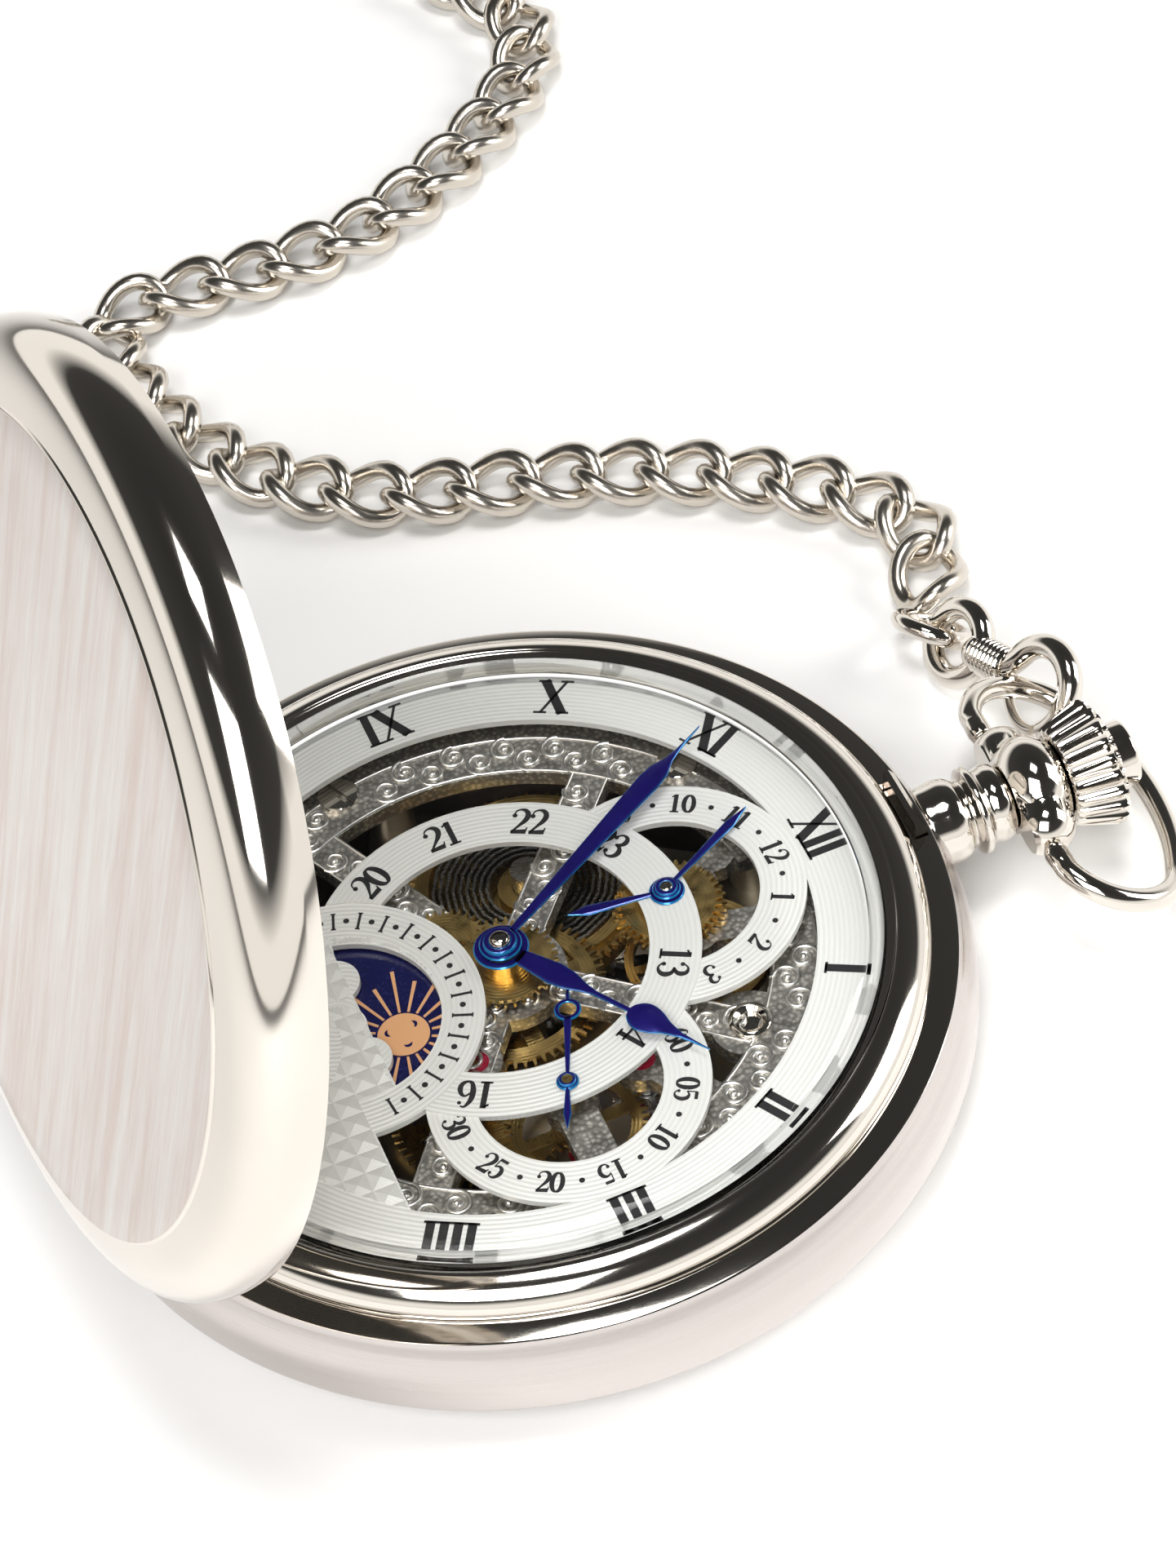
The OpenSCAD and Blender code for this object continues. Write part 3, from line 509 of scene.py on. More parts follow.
def clear(name):
    """Thin clear crystal: light passes straight through, and its skin reflects."""
    m = bpy.data.materials.new(name)
    m.use_nodes = True
    tree = m.node_tree
    tree.nodes.remove(tree.nodes["Principled BSDF"])
    out = tree.nodes["Material Output"]
    through = node(tree, "ShaderNodeBsdfTransparent", Color=(0.985, 0.99, 0.99, 1))
    skin = node(tree, "ShaderNodeBsdfGlossy", Color=(1, 1, 1, 1), Roughness=0.02)
    fresnel = node(tree, "ShaderNodeFresnel", IOR=1.22)
    smear = noise(tree, coords(tree), 0.35, 4)
    tree.links.new(spread(tree, smear, 0.0, 0.03, 0.45, 0.8), skin.inputs["Roughness"])
    mixer = node(tree, "ShaderNodeMixShader")
    tree.links.new(fresnel.outputs["Fac"], mixer.inputs["Fac"])
    tree.links.new(through.outputs["BSDF"], mixer.inputs[1])
    tree.links.new(skin.outputs["BSDF"], mixer.inputs[2])
    tree.links.new(mixer.outputs["Shader"], out.inputs["Surface"])
    return m


WARM = (0.74, 0.695, 0.635)
STEEL = polished("polished_nickel", WARM)
CHAIN_STEEL = polished("chain_nickel", (0.66, 0.61, 0.54), 0.19, 0.08)
LID_SATIN = satin("lid_satin", (0.68, 0.655, 0.63), 0.36, (6, 0.3, 0.3), 1.2, 0.006,
                  tint=(0.60, 0.52, 0.48))
SIDE_SATIN = satin("side_satin", (0.60, 0.555, 0.535), 0.2, (0.05, 0.05, 5), 1.5, 0.003)
GREY_STEEL = satin("grey_steel", (0.55, 0.54, 0.52), 0.26, (4, 0.5, 4), 3.0)
PLATE_METAL = engraved("engraved_plate", (0.78, 0.74, 0.68))
SCROLL_METAL = polished("scroll_metal", (0.95, 0.93, 0.89), 0.27, 0.08)
UNDER_METAL = satin("bridge_metal", (0.50, 0.45, 0.37), 0.4, (0.6, 4, 4), 2.0)
DIAL_WHITE = (0.88, 0.87, 0.835)
SUB_REACH, DAY_REACH, GROOVE = 7.85, 8.25, 0.29
DIAL = grooved("dial_guilloche", DIAL_WHITE, GROOVE, locals_at=(
    (tuple(DUAL_AT), SUB_REACH), (tuple(SECONDS_AT), SUB_REACH), (tuple(DAY_AT), DAY_REACH)))
DAY_RING = grooved("day_ring_guilloche", DIAL_WHITE, GROOVE)
PYRAMID = grooved("pyramid_guilloche", DIAL_WHITE, 0.11, 0.26, 0.2, 0.12)
INK = printed("dial_ink", (0.012, 0.011, 0.012))
BLUE = blued("blued_steel")
NIGHT = enamel("night_enamel", (0.008, 0.009, 0.075), (0.03, 0.035, 0.16))
ROSE = printed("rose_gilt", (0.80, 0.42, 0.20))
RUBY = enamel("ruby", (0.30, 0.008, 0.03), (0.45, 0.03, 0.08))
CRYSTAL = clear("crystal_glass")


# ---- Camera ----

# The photograph's height and the fitted focal length, both in pixels
PHOTO_H, FOCAL_PX = 1922, 5500
camera = bpy.data.objects.new("camera", bpy.data.cameras.new("camera"))
bpy.context.collection.objects.link(camera)
camera.data.sensor_width = 36
camera.data.lens = FOCAL_PX * camera.data.sensor_width / PHOTO_H
right = Vector((0.36783, 0.92242, -0.11761))
down = Vector((0.67351, -0.35149, -0.65026))
forward = Vector((-0.64115, 0.15997, -0.75055))
camera.matrix_world = Matrix((right, -down, -forward)).transposed().to_4x4()
camera.matrix_world.translation = Vector((153.335, -31.793, 199.537)) * MM
camera.data.clip_start, camera.data.clip_end = 0.01, 20
bpy.context.scene.camera = camera


# ---- Chain: the route and the hank of part.scad ----

CHAIN_Z = (lo_mm("chain_run").z + hi_mm("chain_run").z) / 2
ROUTE = [(-19.8, 33.4), (-22.1, 35.3), (-24.8, 36.1), (-27.8, 35.3), (-30.6, 33.1),
         (-33, 30.4), (-35.1, 27.8), (-36.9, 25.2), (-38.3, 22.6), (-39.6, 19.8), (-40.8, 16.6),
         (-41.8, 13.6), (-42.8, 10.6), (-44.1, 7.8), (-45.9, 5.2), (-48.3, 2.6), (-51.2, 0.4),
         (-54.3, -1.3), (-57.3, -2.6), (-60.6, -3.4), (-64, -3.8), (-66.8, -3.2), (-68.2, -1),
         (-68.3, 2), (-67.9, 5), (-67.6, 8.4), (-67.6, 11.8), (-68.1, 15.2), (-69.4, 18.8),
         (-71.4, 22.6), (-74, 26.4), (-77.2, 29.8), (-80.6, 31.6), (-84.2, 31.8),
         (-87.4, 30.4), (-90.6, 29.2)]
HANK_AT, HANK_TURN, HANK_LEN = Vector((-94, 28.6)), radians(180), 97
HANK_SIDE = 2.9          # each run's distance from the hank's middle line
END_RING_AT, END_RING_R, END_RING_WIRE_R = Vector((-113, 20.15)), 2.2, 0.6
LINK_LONG, LINK_WIDE, LINK_WIRE = 5.2, 3.7, 0.6
LINK_TWIST = radians(45)
LINK_PITCH = LINK_LONG - 2 * LINK_WIRE


def in_hank(along, side):
    c, s = cos(HANK_TURN), sin(HANK_TURN)
    return HANK_AT.x + along * c - side * s, HANK_AT.y + along * s + side * c


def chain_points():
    """The chain's middle line: out along the route, then up and down the hank to its ring."""
    far = HANK_LEN - 2 * HANK_SIDE - 1
    flat = ROUTE + [in_hank(1, -0.6), in_hank(6, -HANK_SIDE), in_hank(20, -HANK_SIDE)]
    flat += [in_hank(a, -HANK_SIDE) for a in (40, 60, far)]
    flat += [in_hank(far + HANK_SIDE * sin(radians(a)), -HANK_SIDE * cos(radians(a)))
             for a in (45, 90, 135)]
    flat += [in_hank(a, HANK_SIDE) for a in (far, 60, 40, 31)]
    flat += [in_hank(25.5, 3.9), in_hank(22, 6), in_hank(19.9, 7.5)]
    return smooth_path([(x, y, CHAIN_Z) for x, y in flat], 0.5)


def link(roll):
    """One curb link about its own middle, its long way along X."""
    pts = []
    for k in range(36):
        a = 2 * pi * k / 36
        x, y = LINK_LONG / 2 * cos(a), LINK_WIDE / 2 * sin(a)
        twist = roll + LINK_TWIST * cos(a)
        pts.append((x, y * cos(twist), y * sin(twist)))
    return tube(pts, LINK_WIRE, 12, closed=True)


CHAIN_LINE = chain_points()
along = [0.0]
for p, q in zip(CHAIN_LINE, CHAIN_LINE[1:]):
    along.append(along[-1] + (q - p).length)
links, at = Shape(), LINK_LONG / 2
i = 0
while at < along[-1] - LINK_LONG / 2 + 0.3:
    while along[i + 1] < at:
        i += 1
    t = (at - along[i]) / (along[i + 1] - along[i])
    here = CHAIN_LINE[i].lerp(CHAIN_LINE[i + 1], t)
    lead = CHAIN_LINE[min(i + 3, len(CHAIN_LINE) - 1)] - CHAIN_LINE[max(i - 2, 0)]
    links.add(*link(radians(random.uniform(-4, 4))), place(here, lead, Z))
    at += LINK_PITCH
chain = links.done("curb_chain", CHAIN_STEEL, "case", angle=60,
                   replaces=("chain_run", "chain_hank"))
end_ring = Shape().add(*torus(END_RING_R, END_RING_WIRE_R),
                       Matrix.Translation((*END_RING_AT, END_RING_WIRE_R))).done(
    "end_ring", STEEL, "case", replaces=("chain_ring",))

bar_lo, bar_hi = lo_mm("chain_bar"), hi_mm("chain_bar")
BAR_HALF = 12
bar_profile = rounded([(0, -BAR_HALF - 1.35), (0.9, -BAR_HALF - 1.0), (1.4, -BAR_HALF),
                       (0.95, -BAR_HALF + 1.1), (0.7, -BAR_HALF + 2), (1.0, -BAR_HALF + 5),
                       (1.05, -2), (1.3, -1), (1.3, 1), (1.05, 2), (1.0, BAR_HALF - 5),
                       (0.7, BAR_HALF - 2), (0.95, BAR_HALF - 1.1), (1.4, BAR_HALF),
                       (0.9, BAR_HALF + 1.0), (0, BAR_HALF + 1.35)], 0.5)
bar = Shape().add(*lathe(bar_profile, 48), place(
    (bar_lo + bar_hi) / 2, Z, Vector((cos(HANK_TURN), sin(HANK_TURN), 0)))).done(
        "t_bar", STEEL, "case", replaces=("chain_bar",))
print("chain length in mm:", round(along[-1], 1))


# ---- Light and floor ----

def softbox(name, where, size, power, color=(1, 1, 1)):
    """A large light aimed at the dial."""
    lamp = bpy.data.objects.new(name, bpy.data.lights.new(name, "AREA"))
    bpy.context.collection.objects.link(lamp)
    lamp.data.shape = "RECTANGLE"
    lamp.data.size, lamp.data.size_y = size
    lamp.data.energy, lamp.data.color = power, color
    lamp.location = where
    lamp.rotation_mode = "QUATERNION"
    lamp.rotation_quaternion = (-Vector(where)).to_track_quat("-Z", "Y")


softbox("key", (0.34, -0.20, 0.42), (0.34, 0.34), 3.0)
softbox("fill", (0.10, 0.55, 0.30), (0.32, 0.32), 2.6, (1.0, 0.985, 0.96))
softbox("top", (0.02, 0.02, 0.75), (0.22, 0.22), 2.2)

world = bpy.data.worlds.new("studio")
world.use_nodes = True
bpy.context.scene.world = world
sky = world.node_tree
direction = node(sky, "ShaderNodeTexCoord").outputs["Generated"]
height = node(sky, "ShaderNodeSeparateXYZ")
sky.links.new(direction, height.inputs[0])
shade = node(sky, "ShaderNodeValToRGB")
while len(shade.color_ramp.elements) < 4:
    shade.color_ramp.elements.new(0.5)
for stop, (where, level) in zip(shade.color_ramp.elements,
                                ((0.0, 1.0), (0.22, 1.0), (0.40, 0.05), (1.0, 0.03))):
    stop.position, stop.color = where, (level, level * 0.985, level * 0.955, 1)
sky.links.new(height.outputs["Z"], shade.inputs["Fac"])
sky.links.new(shade.outputs["Color"], sky.nodes["Background"].inputs["Color"])
sky.nodes["Background"].inputs["Strength"].default_value = 1.15

floor_paint, floor_tree, floor_shader = shader("floor_paint", (0.92, 0.915, 0.905), 0.0, 0.75)
floor_grain = noise(floor_tree, coords(floor_tree), 0.02, 2)
floor_tree.links.new(spread(floor_tree, floor_grain, 0.7, 0.8), floor_shader.inputs["Roughness"])
floor_mesh = bpy.data.meshes.new("floor")
FLOOR_HALF, FLOOR_Z = 3.0, -0.00003
floor_mesh.from_pydata([(x * FLOOR_HALF, y * FLOOR_HALF, FLOOR_Z)
                        for x, y in ((-1, -1), (1, -1), (1, 1), (-1, 1))], [], [(0, 1, 2, 3)])
floor_mesh.materials.append(floor_paint)
floor = bpy.data.objects.new("floor", floor_mesh)
bpy.context.collection.objects.link(floor)
view = bpy.context.scene.view_settings
view.view_transform = "Standard"


# ---- Case ----

def boolean(obj, operation, verts, faces, where=None):
    """Cuts or joins a form in the piece's own material."""
    other = Shape().add(verts, faces, where).done("tool", obj.data.materials[0], obj["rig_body"])
    m = obj.modifiers.new("b", "BOOLEAN")
    m.operation, m.object, m.solver = operation, other, "EXACT"
    bpy.context.view_layer.update()
    done = bpy.data.meshes.new_from_object(
        obj.evaluated_get(bpy.context.evaluated_depsgraph_get()))
    obj.modifiers.clear()
    old, obj.data = obj.data, done
    bpy.data.meshes.remove(old)
    bpy.data.objects.remove(other)
    done.polygons.foreach_set("use_smooth", [True] * len(done.polygons))
    done.set_sharp_from_angle(angle=radians(35))


def block(lo, hi, where=None):
    """A box between two corners, as points and faces."""
    v = [(x, y, z) for x in (lo[0], hi[0]) for y in (lo[1], hi[1]) for z in (lo[2], hi[2])]
    f = [(0, 1, 3, 2), (4, 6, 7, 5), (0, 4, 5, 1), (2, 3, 7, 6), (0, 2, 6, 4), (1, 5, 7, 3)]
    return ([where @ Vector(p) for p in v] if where else v), f


IN_HINGE = place(HINGE_AT, HINGE_AXIS, Z)
X_ROD = Matrix.Rotation(pi / 2, 4, "Y")
KNUCKLE_R, KNUCKLE_HALF, LID_KNUCKLE_HALF, PIN_R = 0.72, 4.5, 1.5, 0.3
SEAM_Z, BORE_R, SPIGOT_R, REST_R = 3.2, 22.5, 23.2, 17


def knuckle(x0, x1, grow=0.0):
    """A barrel along the hinge, bored for the pin, or the solid space round one."""
    bore, r = 0.0 if grow else PIN_R, KNUCKLE_R + grow
    v, f = lathe(rounded([(bore, x0), (r, x0), (r, x1), (bore, x1)], 0.1), 32)
    return v, f, IN_HINGE @ X_ROD


def side_curve(n):
    """Outside of the case middle, from the seam up to the ledge."""
    out = []
    for i in range(n + 1):
        t = i / n
        z = SEAM_Z + (LEDGE_Z - SEAM_Z) * t
        swell = (abs(t - 0.4) / 0.6) ** 2.2 * (1 if t > 0.4 else 0.28)
        out.append((CASE_R - (CASE_R - 24.8) * swell, z))
    return out


mid = Shape().add(*lathe(
    [(BORE_R, 2.2), (SPIGOT_R - 0.1, 2.2), (SPIGOT_R, 2.4), (SPIGOT_R, SEAM_Z)]
    + [(25.6, SEAM_Z), (25.72, SEAM_Z + 0.05)] + side_curve(20)[1:-1]
    + [(24.95, LEDGE_Z - 0.08), (24.8, LEDGE_Z), (BORE_R, LEDGE_Z)], 256)).done(
        "case_middle", SIDE_SATIN, "case", replaces=("mid_case",))
for s in (-1, 1):
    x0, x1 = sorted((s * (LID_KNUCKLE_HALF + 0.05), s * KNUCKLE_HALF))
    boolean(mid, "UNION", *knuckle(x0, x1))
    boolean(mid, "UNION", *block((x0, -0.3, -0.95), (x1, 0.9, -0.2), IN_HINGE))
boolean(mid, "DIFFERENCE", *knuckle(-LID_KNUCKLE_HALF - 0.05, LID_KNUCKLE_HALF + 0.05, 0.08))
# Room for the catch at twelve o'clock
boolean(mid, "DIFFERENCE", *block((-2.3, 23.55, 7.3), (2.3, 24.6, 9.3)))


def two_finishes(obj, first, second, is_second):
    """Paints the faces whose middle (in millimetres) passes the test with the second material."""
    obj.data.materials.clear()
    obj.data.materials.append(first)
    obj.data.materials.append(second)
    for p in obj.data.polygons:
        p.material_index = int(is_second(p.center / MM))


two_finishes(mid, SIDE_SATIN, STEEL, lambda p: p.z > LEDGE_Z - 0.12)

Shape().add(*lathe(
    [(0, 0), (REST_R, 0)] + bezier((REST_R + 0.4, 0.012), (18.6, 0.06), (19.5, 0.12), 4)
    + bezier((19.5, 0.12), (24.6, 0.5), (25.5, SEAM_Z - 0.12), 22)[1:]
    + [(25.5, SEAM_Z - 0.03), (25.4, SEAM_Z), (SPIGOT_R, SEAM_Z), (SPIGOT_R, 2), (22.6, 1.4),
       (20, 0.9), (REST_R, 0.75), (0, 0.75)], 256)).done(
           "case_back", SIDE_SATIN, "case", replaces=("rear_cover",))

Shape().add(*lathe(
    [(DIAL_R, LEDGE_Z), (23.46, LEDGE_Z), (23.54, 8.4), (23.56, 8.62)]
    + bezier((23.56, 8.7), (23.3, 9.85), (22, 10.15), 22) + [(21.86, 10.17), (21.7, 10.12)]
    + bezier((21.66, 10.08), (21.3, 9.98), (DIAL_R, 9.9), 6), 256)).done(
        "crystal_bezel", STEEL, "case", replaces=("bezel",))

Shape().add(*lathe(
    [(20.2, DIAL_Z), (DIAL_R - 0.01, DIAL_Z), (DIAL_R - 0.01, 10)]
    + bezier((20.9, 10.3), (20.6, 10.75), (19.6, 10.95), 10)
    + [(19.6 * (1 - i / 24), 11.95 - (1 - i / 24) ** 2) for i in range(1, 25)]
    + [(18.8 * i / 24, 11.15 - 0.75 * (i / 24) ** 2) for i in range(25)]
    + [(19.3, 10.33), (19.8, 10.2), (20.1, 10.0), (20.2, 9.9)], 256)).done(
        "crystal_dome", CRYSTAL, "case", replaces=("crystal",))


# ---- Lid: turned as it is shut, then swung open ----

FIELD_R, LID_TOP = 21.4, 12.84
lid = Shape().add(*lathe(
    [(24.2, 8.46), (24.26, 8.42), (24.84, 8.42), (24.92, 8.46)]
    + bezier((25.1, 9.2), (25.5, 11.9), (22.6, 12.5), 28)
    + [(22.3, 12.56), (FIELD_R + 0.28, 12.68), (FIELD_R + 0.16, 12.70), (FIELD_R + 0.08, 12.80),
       (FIELD_R, LID_TOP)]
    + [(FIELD_R * (1 - i / 12), LID_TOP) for i in range(1, 13)]
    + [(20.8 * i / 8, 12.35) for i in range(9)]
    + bezier((21.8, 12.15), (24.6, 11.6), (24.3, 9.6), 12), 256)).done(
        "hunter_lid", STEEL, "lid", replaces=("front_lid",))
GAP_HALF = KNUCKLE_HALF + 0.1
boolean(lid, "DIFFERENCE", *knuckle(-GAP_HALF, GAP_HALF, 0.08))
boolean(lid, "DIFFERENCE", *block((-GAP_HALF, -1.2, -1.2), (GAP_HALF, 1.15, -0.1), IN_HINGE))
boolean(lid, "DIFFERENCE", *block((-2.6, 23.6, 8), (2.6, 24.65, 9.7)))
boolean(lid, "UNION", *knuckle(-LID_KNUCKLE_HALF, LID_KNUCKLE_HALF))
boolean(lid, "UNION", *block((-LID_KNUCKLE_HALF, 0, -0.1), (LID_KNUCKLE_HALF, 0.85, 0.9), IN_HINGE))
two_finishes(lid, STEEL, LID_SATIN,
             lambda p: p.z > LID_TOP - 0.02 and hypot(p.x, p.y) < FIELD_R)
in_metres = Matrix.Diagonal((MM, MM, MM, 1))
lid.data.transform(in_metres @ OPENED @ in_metres.inverted())


# ---- Pendant, crown and bow: turned along Z, then laid along Y ----

Shape().add(*lathe(rounded(
    [(1.22, 24.95), (2.35, 24.95), (2.42, 25.9), (2.5, 26.5), (2.38, 27.15), (1.95, 27.6),
     (2.08, 27.78), (2.6, 28.02), (2.6, 28.42), (2.08, 28.66), (2.3, 29.2), (2.25, 29.8),
     (1.9, 30.2), (1.22, 30.2)], 0.3, 5), 96), TO_PENDANT).done(
         "pendant_collar", STEEL, "case", replaces=("pendant_neck",))

EAR_X, EAR_Y, EAR_R, BOW_Y = 2.9, 31.35, 1.72, BOW_AT.y
HEAD_Y0, HEAD_Y1 = 30.2, 33.4


def body_radius(y):
    """Radius of the saddle's round body along the pendant."""
    t = (y - HEAD_Y0) / (HEAD_Y1 - HEAD_Y0)
    swell = sin(pi * min(1, max(0, t * 0.86 + 0.10))) ** 0.62
    return 1.55 + 1.35 * swell + 0.35 * t


head_verts, head_faces = [], []
HEAD_ROWS, HEAD_SEGS = 26, 72
for i in range(HEAD_ROWS + 1):
    y = HEAD_Y0 + (HEAD_Y1 - HEAD_Y0) * i / HEAD_ROWS
    for k in range(HEAD_SEGS):
        a = 2 * pi * k / HEAD_SEGS
        lobe, across = 0.0, EAR_X * abs(sin(a))
        half = sqrt(max(0, EAR_R ** 2 - (y - EAR_Y) ** 2))
        if across < half:
            lobe = EAR_X * abs(cos(a)) + sqrt(half ** 2 - across ** 2)
        r = (body_radius(y) ** 10 + lobe ** 10) ** 0.1
        head_verts.append((r * cos(a), y, PENDANT_Z + r * sin(a)))
for i in range(HEAD_ROWS):
    for k in range(HEAD_SEGS):
        m = (k + 1) % HEAD_SEGS
        head_faces.append((i * HEAD_SEGS + k, (i + 1) * HEAD_SEGS + k,
                           (i + 1) * HEAD_SEGS + m, i * HEAD_SEGS + m))
head_faces.append(tuple(range(HEAD_SEGS)))
head_faces.append(tuple(HEAD_ROWS * HEAD_SEGS + k for k in range(HEAD_SEGS - 1, -1, -1)))
head = make("pendant_saddle", head_verts, head_faces, STEEL, "case", replaces=("pendant_head",))
for s in (-1, 1):
    turned = Matrix.Translation((0, BOW_Y, PENDANT_Z)) @ Matrix.Rotation(s * pi / 2, 4, "Y")
    boolean(head, "DIFFERENCE", *lathe([(0, 4.5), (2.6, 4.5), (2.6, 7), (0, 7)], 48), turned)
boolean(head, "DIFFERENCE", *lathe([(0, 29), (1.22, 29), (1.22, 35), (0, 35)], 48), TO_PENDANT)

CROWN_FLUTES = 24


def flutes(a, r, y):
    """Sharp flutes that open towards the crown's outer end."""
    if r < 2.6 or y > 36.35:
        return 1
    deep = 0.075 + 0.035 * (y - 33.5) / 2.8
    return 1 - deep * abs(sin(a * CROWN_FLUTES / 2)) ** 0.7


crown_profile = ([(0.85, 33.5), (2.55, 33.5), (2.86, 33.56)]
                 + [(3.0 + 0.75 * t / 8, 33.75 + 2.2 * t / 8) for t in range(9)]
                 + [(3.72, 36.15), (3.5, 36.34), (3.2, 36.46), (2.5, 36.5), (2.1, 36.5),
                    (2.03, 36.42), (2.03, 35.14), (0.85, 35.14)])
Shape().add(*lathe(crown_profile, CROWN_FLUTES * 16, flutes), TO_PENDANT).done(
    "fluted_crown", STEEL, "crown", angle=28, replaces=("crown",))
Shape().add(*lathe(rounded([(0, 36.0), (1.95, 36.0), (1.95, 37.9), (0, 37.9)], 0.28, 5), 72),
            TO_PENDANT).done("push_button", STEEL, "button", replaces=("crown_button",))

# The bow's oval, from pivot to pivot, drooping with its body
BOW_WIRE_R = 0.68
HALF_W, BOW_SIDE_R, BOW_RISE, HALF_H, DROOP = 9, 3.9, 3.7, 5.25, radians(26.5)
side_x = HALF_W - BOW_SIDE_R
diff = HALF_H - BOW_SIDE_R
drop = (side_x ** 2 - diff ** 2) / (2 * diff)
top_r, top_angle = drop + HALF_H, atan2(side_x, drop)
end = radians(70)
bow_half = [(side_x + BOW_SIDE_R * cos(end) - 0.9, BOW_RISE - BOW_SIDE_R * sin(end))]
for i in range(37):
    a = -end + (pi / 2 - top_angle + end) * i / 36
    bow_half.append((side_x + BOW_SIDE_R * cos(a), BOW_RISE + BOW_SIDE_R * sin(a)))
for i in range(1, 17):
    a = pi / 2 - top_angle * (1 - i / 16)
    bow_half.append((top_r * cos(a), BOW_RISE - drop + top_r * sin(a)))
bow_line = bow_half + [(-x, s) for x, s in bow_half[-2::-1]]
IN_BOW = Matrix.Translation((0, BOW_Y, PENDANT_Z)) @ Matrix.Rotation(-DROOP, 4, "X")
bow = Shape().add(*tube([(x, y, 0) for x, y in bow_line], BOW_WIRE_R, 24), IN_BOW).done(
    "bow_ring", STEEL, "bow", angle=50, replaces=("bow",))
bow_end = bow_half[0][0]
for s in (-1, 1):
    v, f = lathe(rounded([(0, 3.8), (0.45, 3.8), (0.45, 4.66), (0.62, 4.66), (0.72, 5.1),
                          (0.66, bow_end + 0.45), (0, bow_end + 0.55)], 0.12), 32)
    turned = IN_BOW @ Matrix.Rotation(s * pi / 2, 4, "Y")
    boolean(bow, "UNION", v, f, turned)


# ---- Clasp: X runs from the jump ring to the hook, whose round lies in X and Z ----

CLASP_AT = Vector((-17.6, 33.2, 1.85))
IN_CLASP = (Matrix.Translation(CLASP_AT) @ Matrix.Rotation(radians(17), 4, "Z")
            @ Matrix.Rotation(radians(-15), 4, "Y") @ Matrix.Rotation(radians(-40), 4, "X"))
EYE_X, EYE_R, COLLAR_X0, COLLAR_X1, COLLAR_RIBS = 2.9, 2.1, 5.0, 7.4, 7
HOOK_X, HOOK_Z, HOOK_R, HOOK_END = 10.4, -0.2, 2.5, -62
GATE_START, GATE_GAP = -166, 15
JUMP_R, JUMP_WIRE_R, EYE_WIRE_R, HOOK_WIRE_R, GATE_WIRE_R = 2.1, 0.55, 0.7, 0.75, 0.35


def hook_arc(a0, a1, n):
    """Points of the hook's round between two angles in degrees."""
    return [(HOOK_X + HOOK_R * cos(radians(a0 + (a1 - a0) * i / n)), 0,
             HOOK_Z + HOOK_R * sin(radians(a0 + (a1 - a0) * i / n))) for i in range(n + 1)]


Shape().add(*torus(JUMP_R, JUMP_WIRE_R), IN_CLASP @ Matrix.Translation((0.5, 0, 0))).done(
    "jump_ring_loop", STEEL, "case", angle=60, replaces=("jump_ring",))

eye_arc = [(EYE_X + EYE_R * cos(radians(a)), 0, EYE_R * sin(radians(a))) for a in range(24, 337, 6)]
eye = Shape().add(*tube(eye_arc, EYE_WIRE_R, 18, up=Y), IN_CLASP).done(
    "clasp_loop", STEEL, "clasp", angle=60, replaces=("clasp_eye",))
v, f = lathe(rounded([(0, 4.1), (0.8, 4.1), (1.12, 4.6), (1.12, 4.94), (0, 4.94)], 0.12), 40)
boolean(eye, "UNION", v, f, IN_CLASP @ X_ROD)

rib = (COLLAR_X1 - COLLAR_X0) / COLLAR_RIBS
collar = [(0, COLLAR_X0)]
for i in range(COLLAR_RIBS):
    collar += [(1.2 - 0.14 * (1 - sin(pi * k / 6)), COLLAR_X0 + rib * (i + k / 6)) for k in range(6)]
collar += [(1.06, COLLAR_X1), (0.95, COLLAR_X1 + 0.12), (0, COLLAR_X1 + 0.12)]
Shape().add(*lathe(collar, 64), IN_CLASP @ X_ROD).add(
    *tube(smooth_path([(COLLAR_X1 - 0.6, 0, 0), (COLLAR_X1 + 0.1, 0, 0.25)]
                      + hook_arc(150, HOOK_END, 30), 0.4),
          lambda t: HOOK_WIRE_R - 0.22 * max(0, (t - 0.75) / 0.25) ** 2, 20, up=Y), IN_CLASP).add(
    *block((COLLAR_X1 - 0.2, 0.48, -1.1), (HOOK_X - 2.2, 0.72, -0.5), IN_CLASP)).add(
    *block((COLLAR_X1 - 0.2, -0.72, -1.1), (HOOK_X - 2.2, -0.48, -0.5), IN_CLASP)).done(
        "swivel_hook", STEEL, "hook", angle=50, replaces=("clasp_hook",))
gate_at = hook_arc(GATE_START, GATE_START, 1)[0]
v, f = lathe(rounded([(0.24, -0.42), (0.45, -0.42), (0.45, 0.42), (0.24, 0.42)], 0.06), 32)
Shape().add(*tube(hook_arc(GATE_START + 9, HOOK_END - GATE_GAP, 14), GATE_WIRE_R, 16, up=Y),
            IN_CLASP).add(
    v, f, IN_CLASP @ Matrix.Translation(gate_at) @ Matrix.Rotation(pi / 2, 4, "X")).done(
        "hook_gate", STEEL, "gate", angle=50, replaces=("clasp_gate",))


# ---- Dial printing ----

INK_LIFT = 0.03
INK_SPREAD = 1.15
ROUND = [(0.36 + 0.27 * cos(radians(a)), 0.5 + 0.46 * sin(radians(a)), 0.07 + 0.15 * abs(cos(radians(a))))
         for a in range(0, 361, 15)]
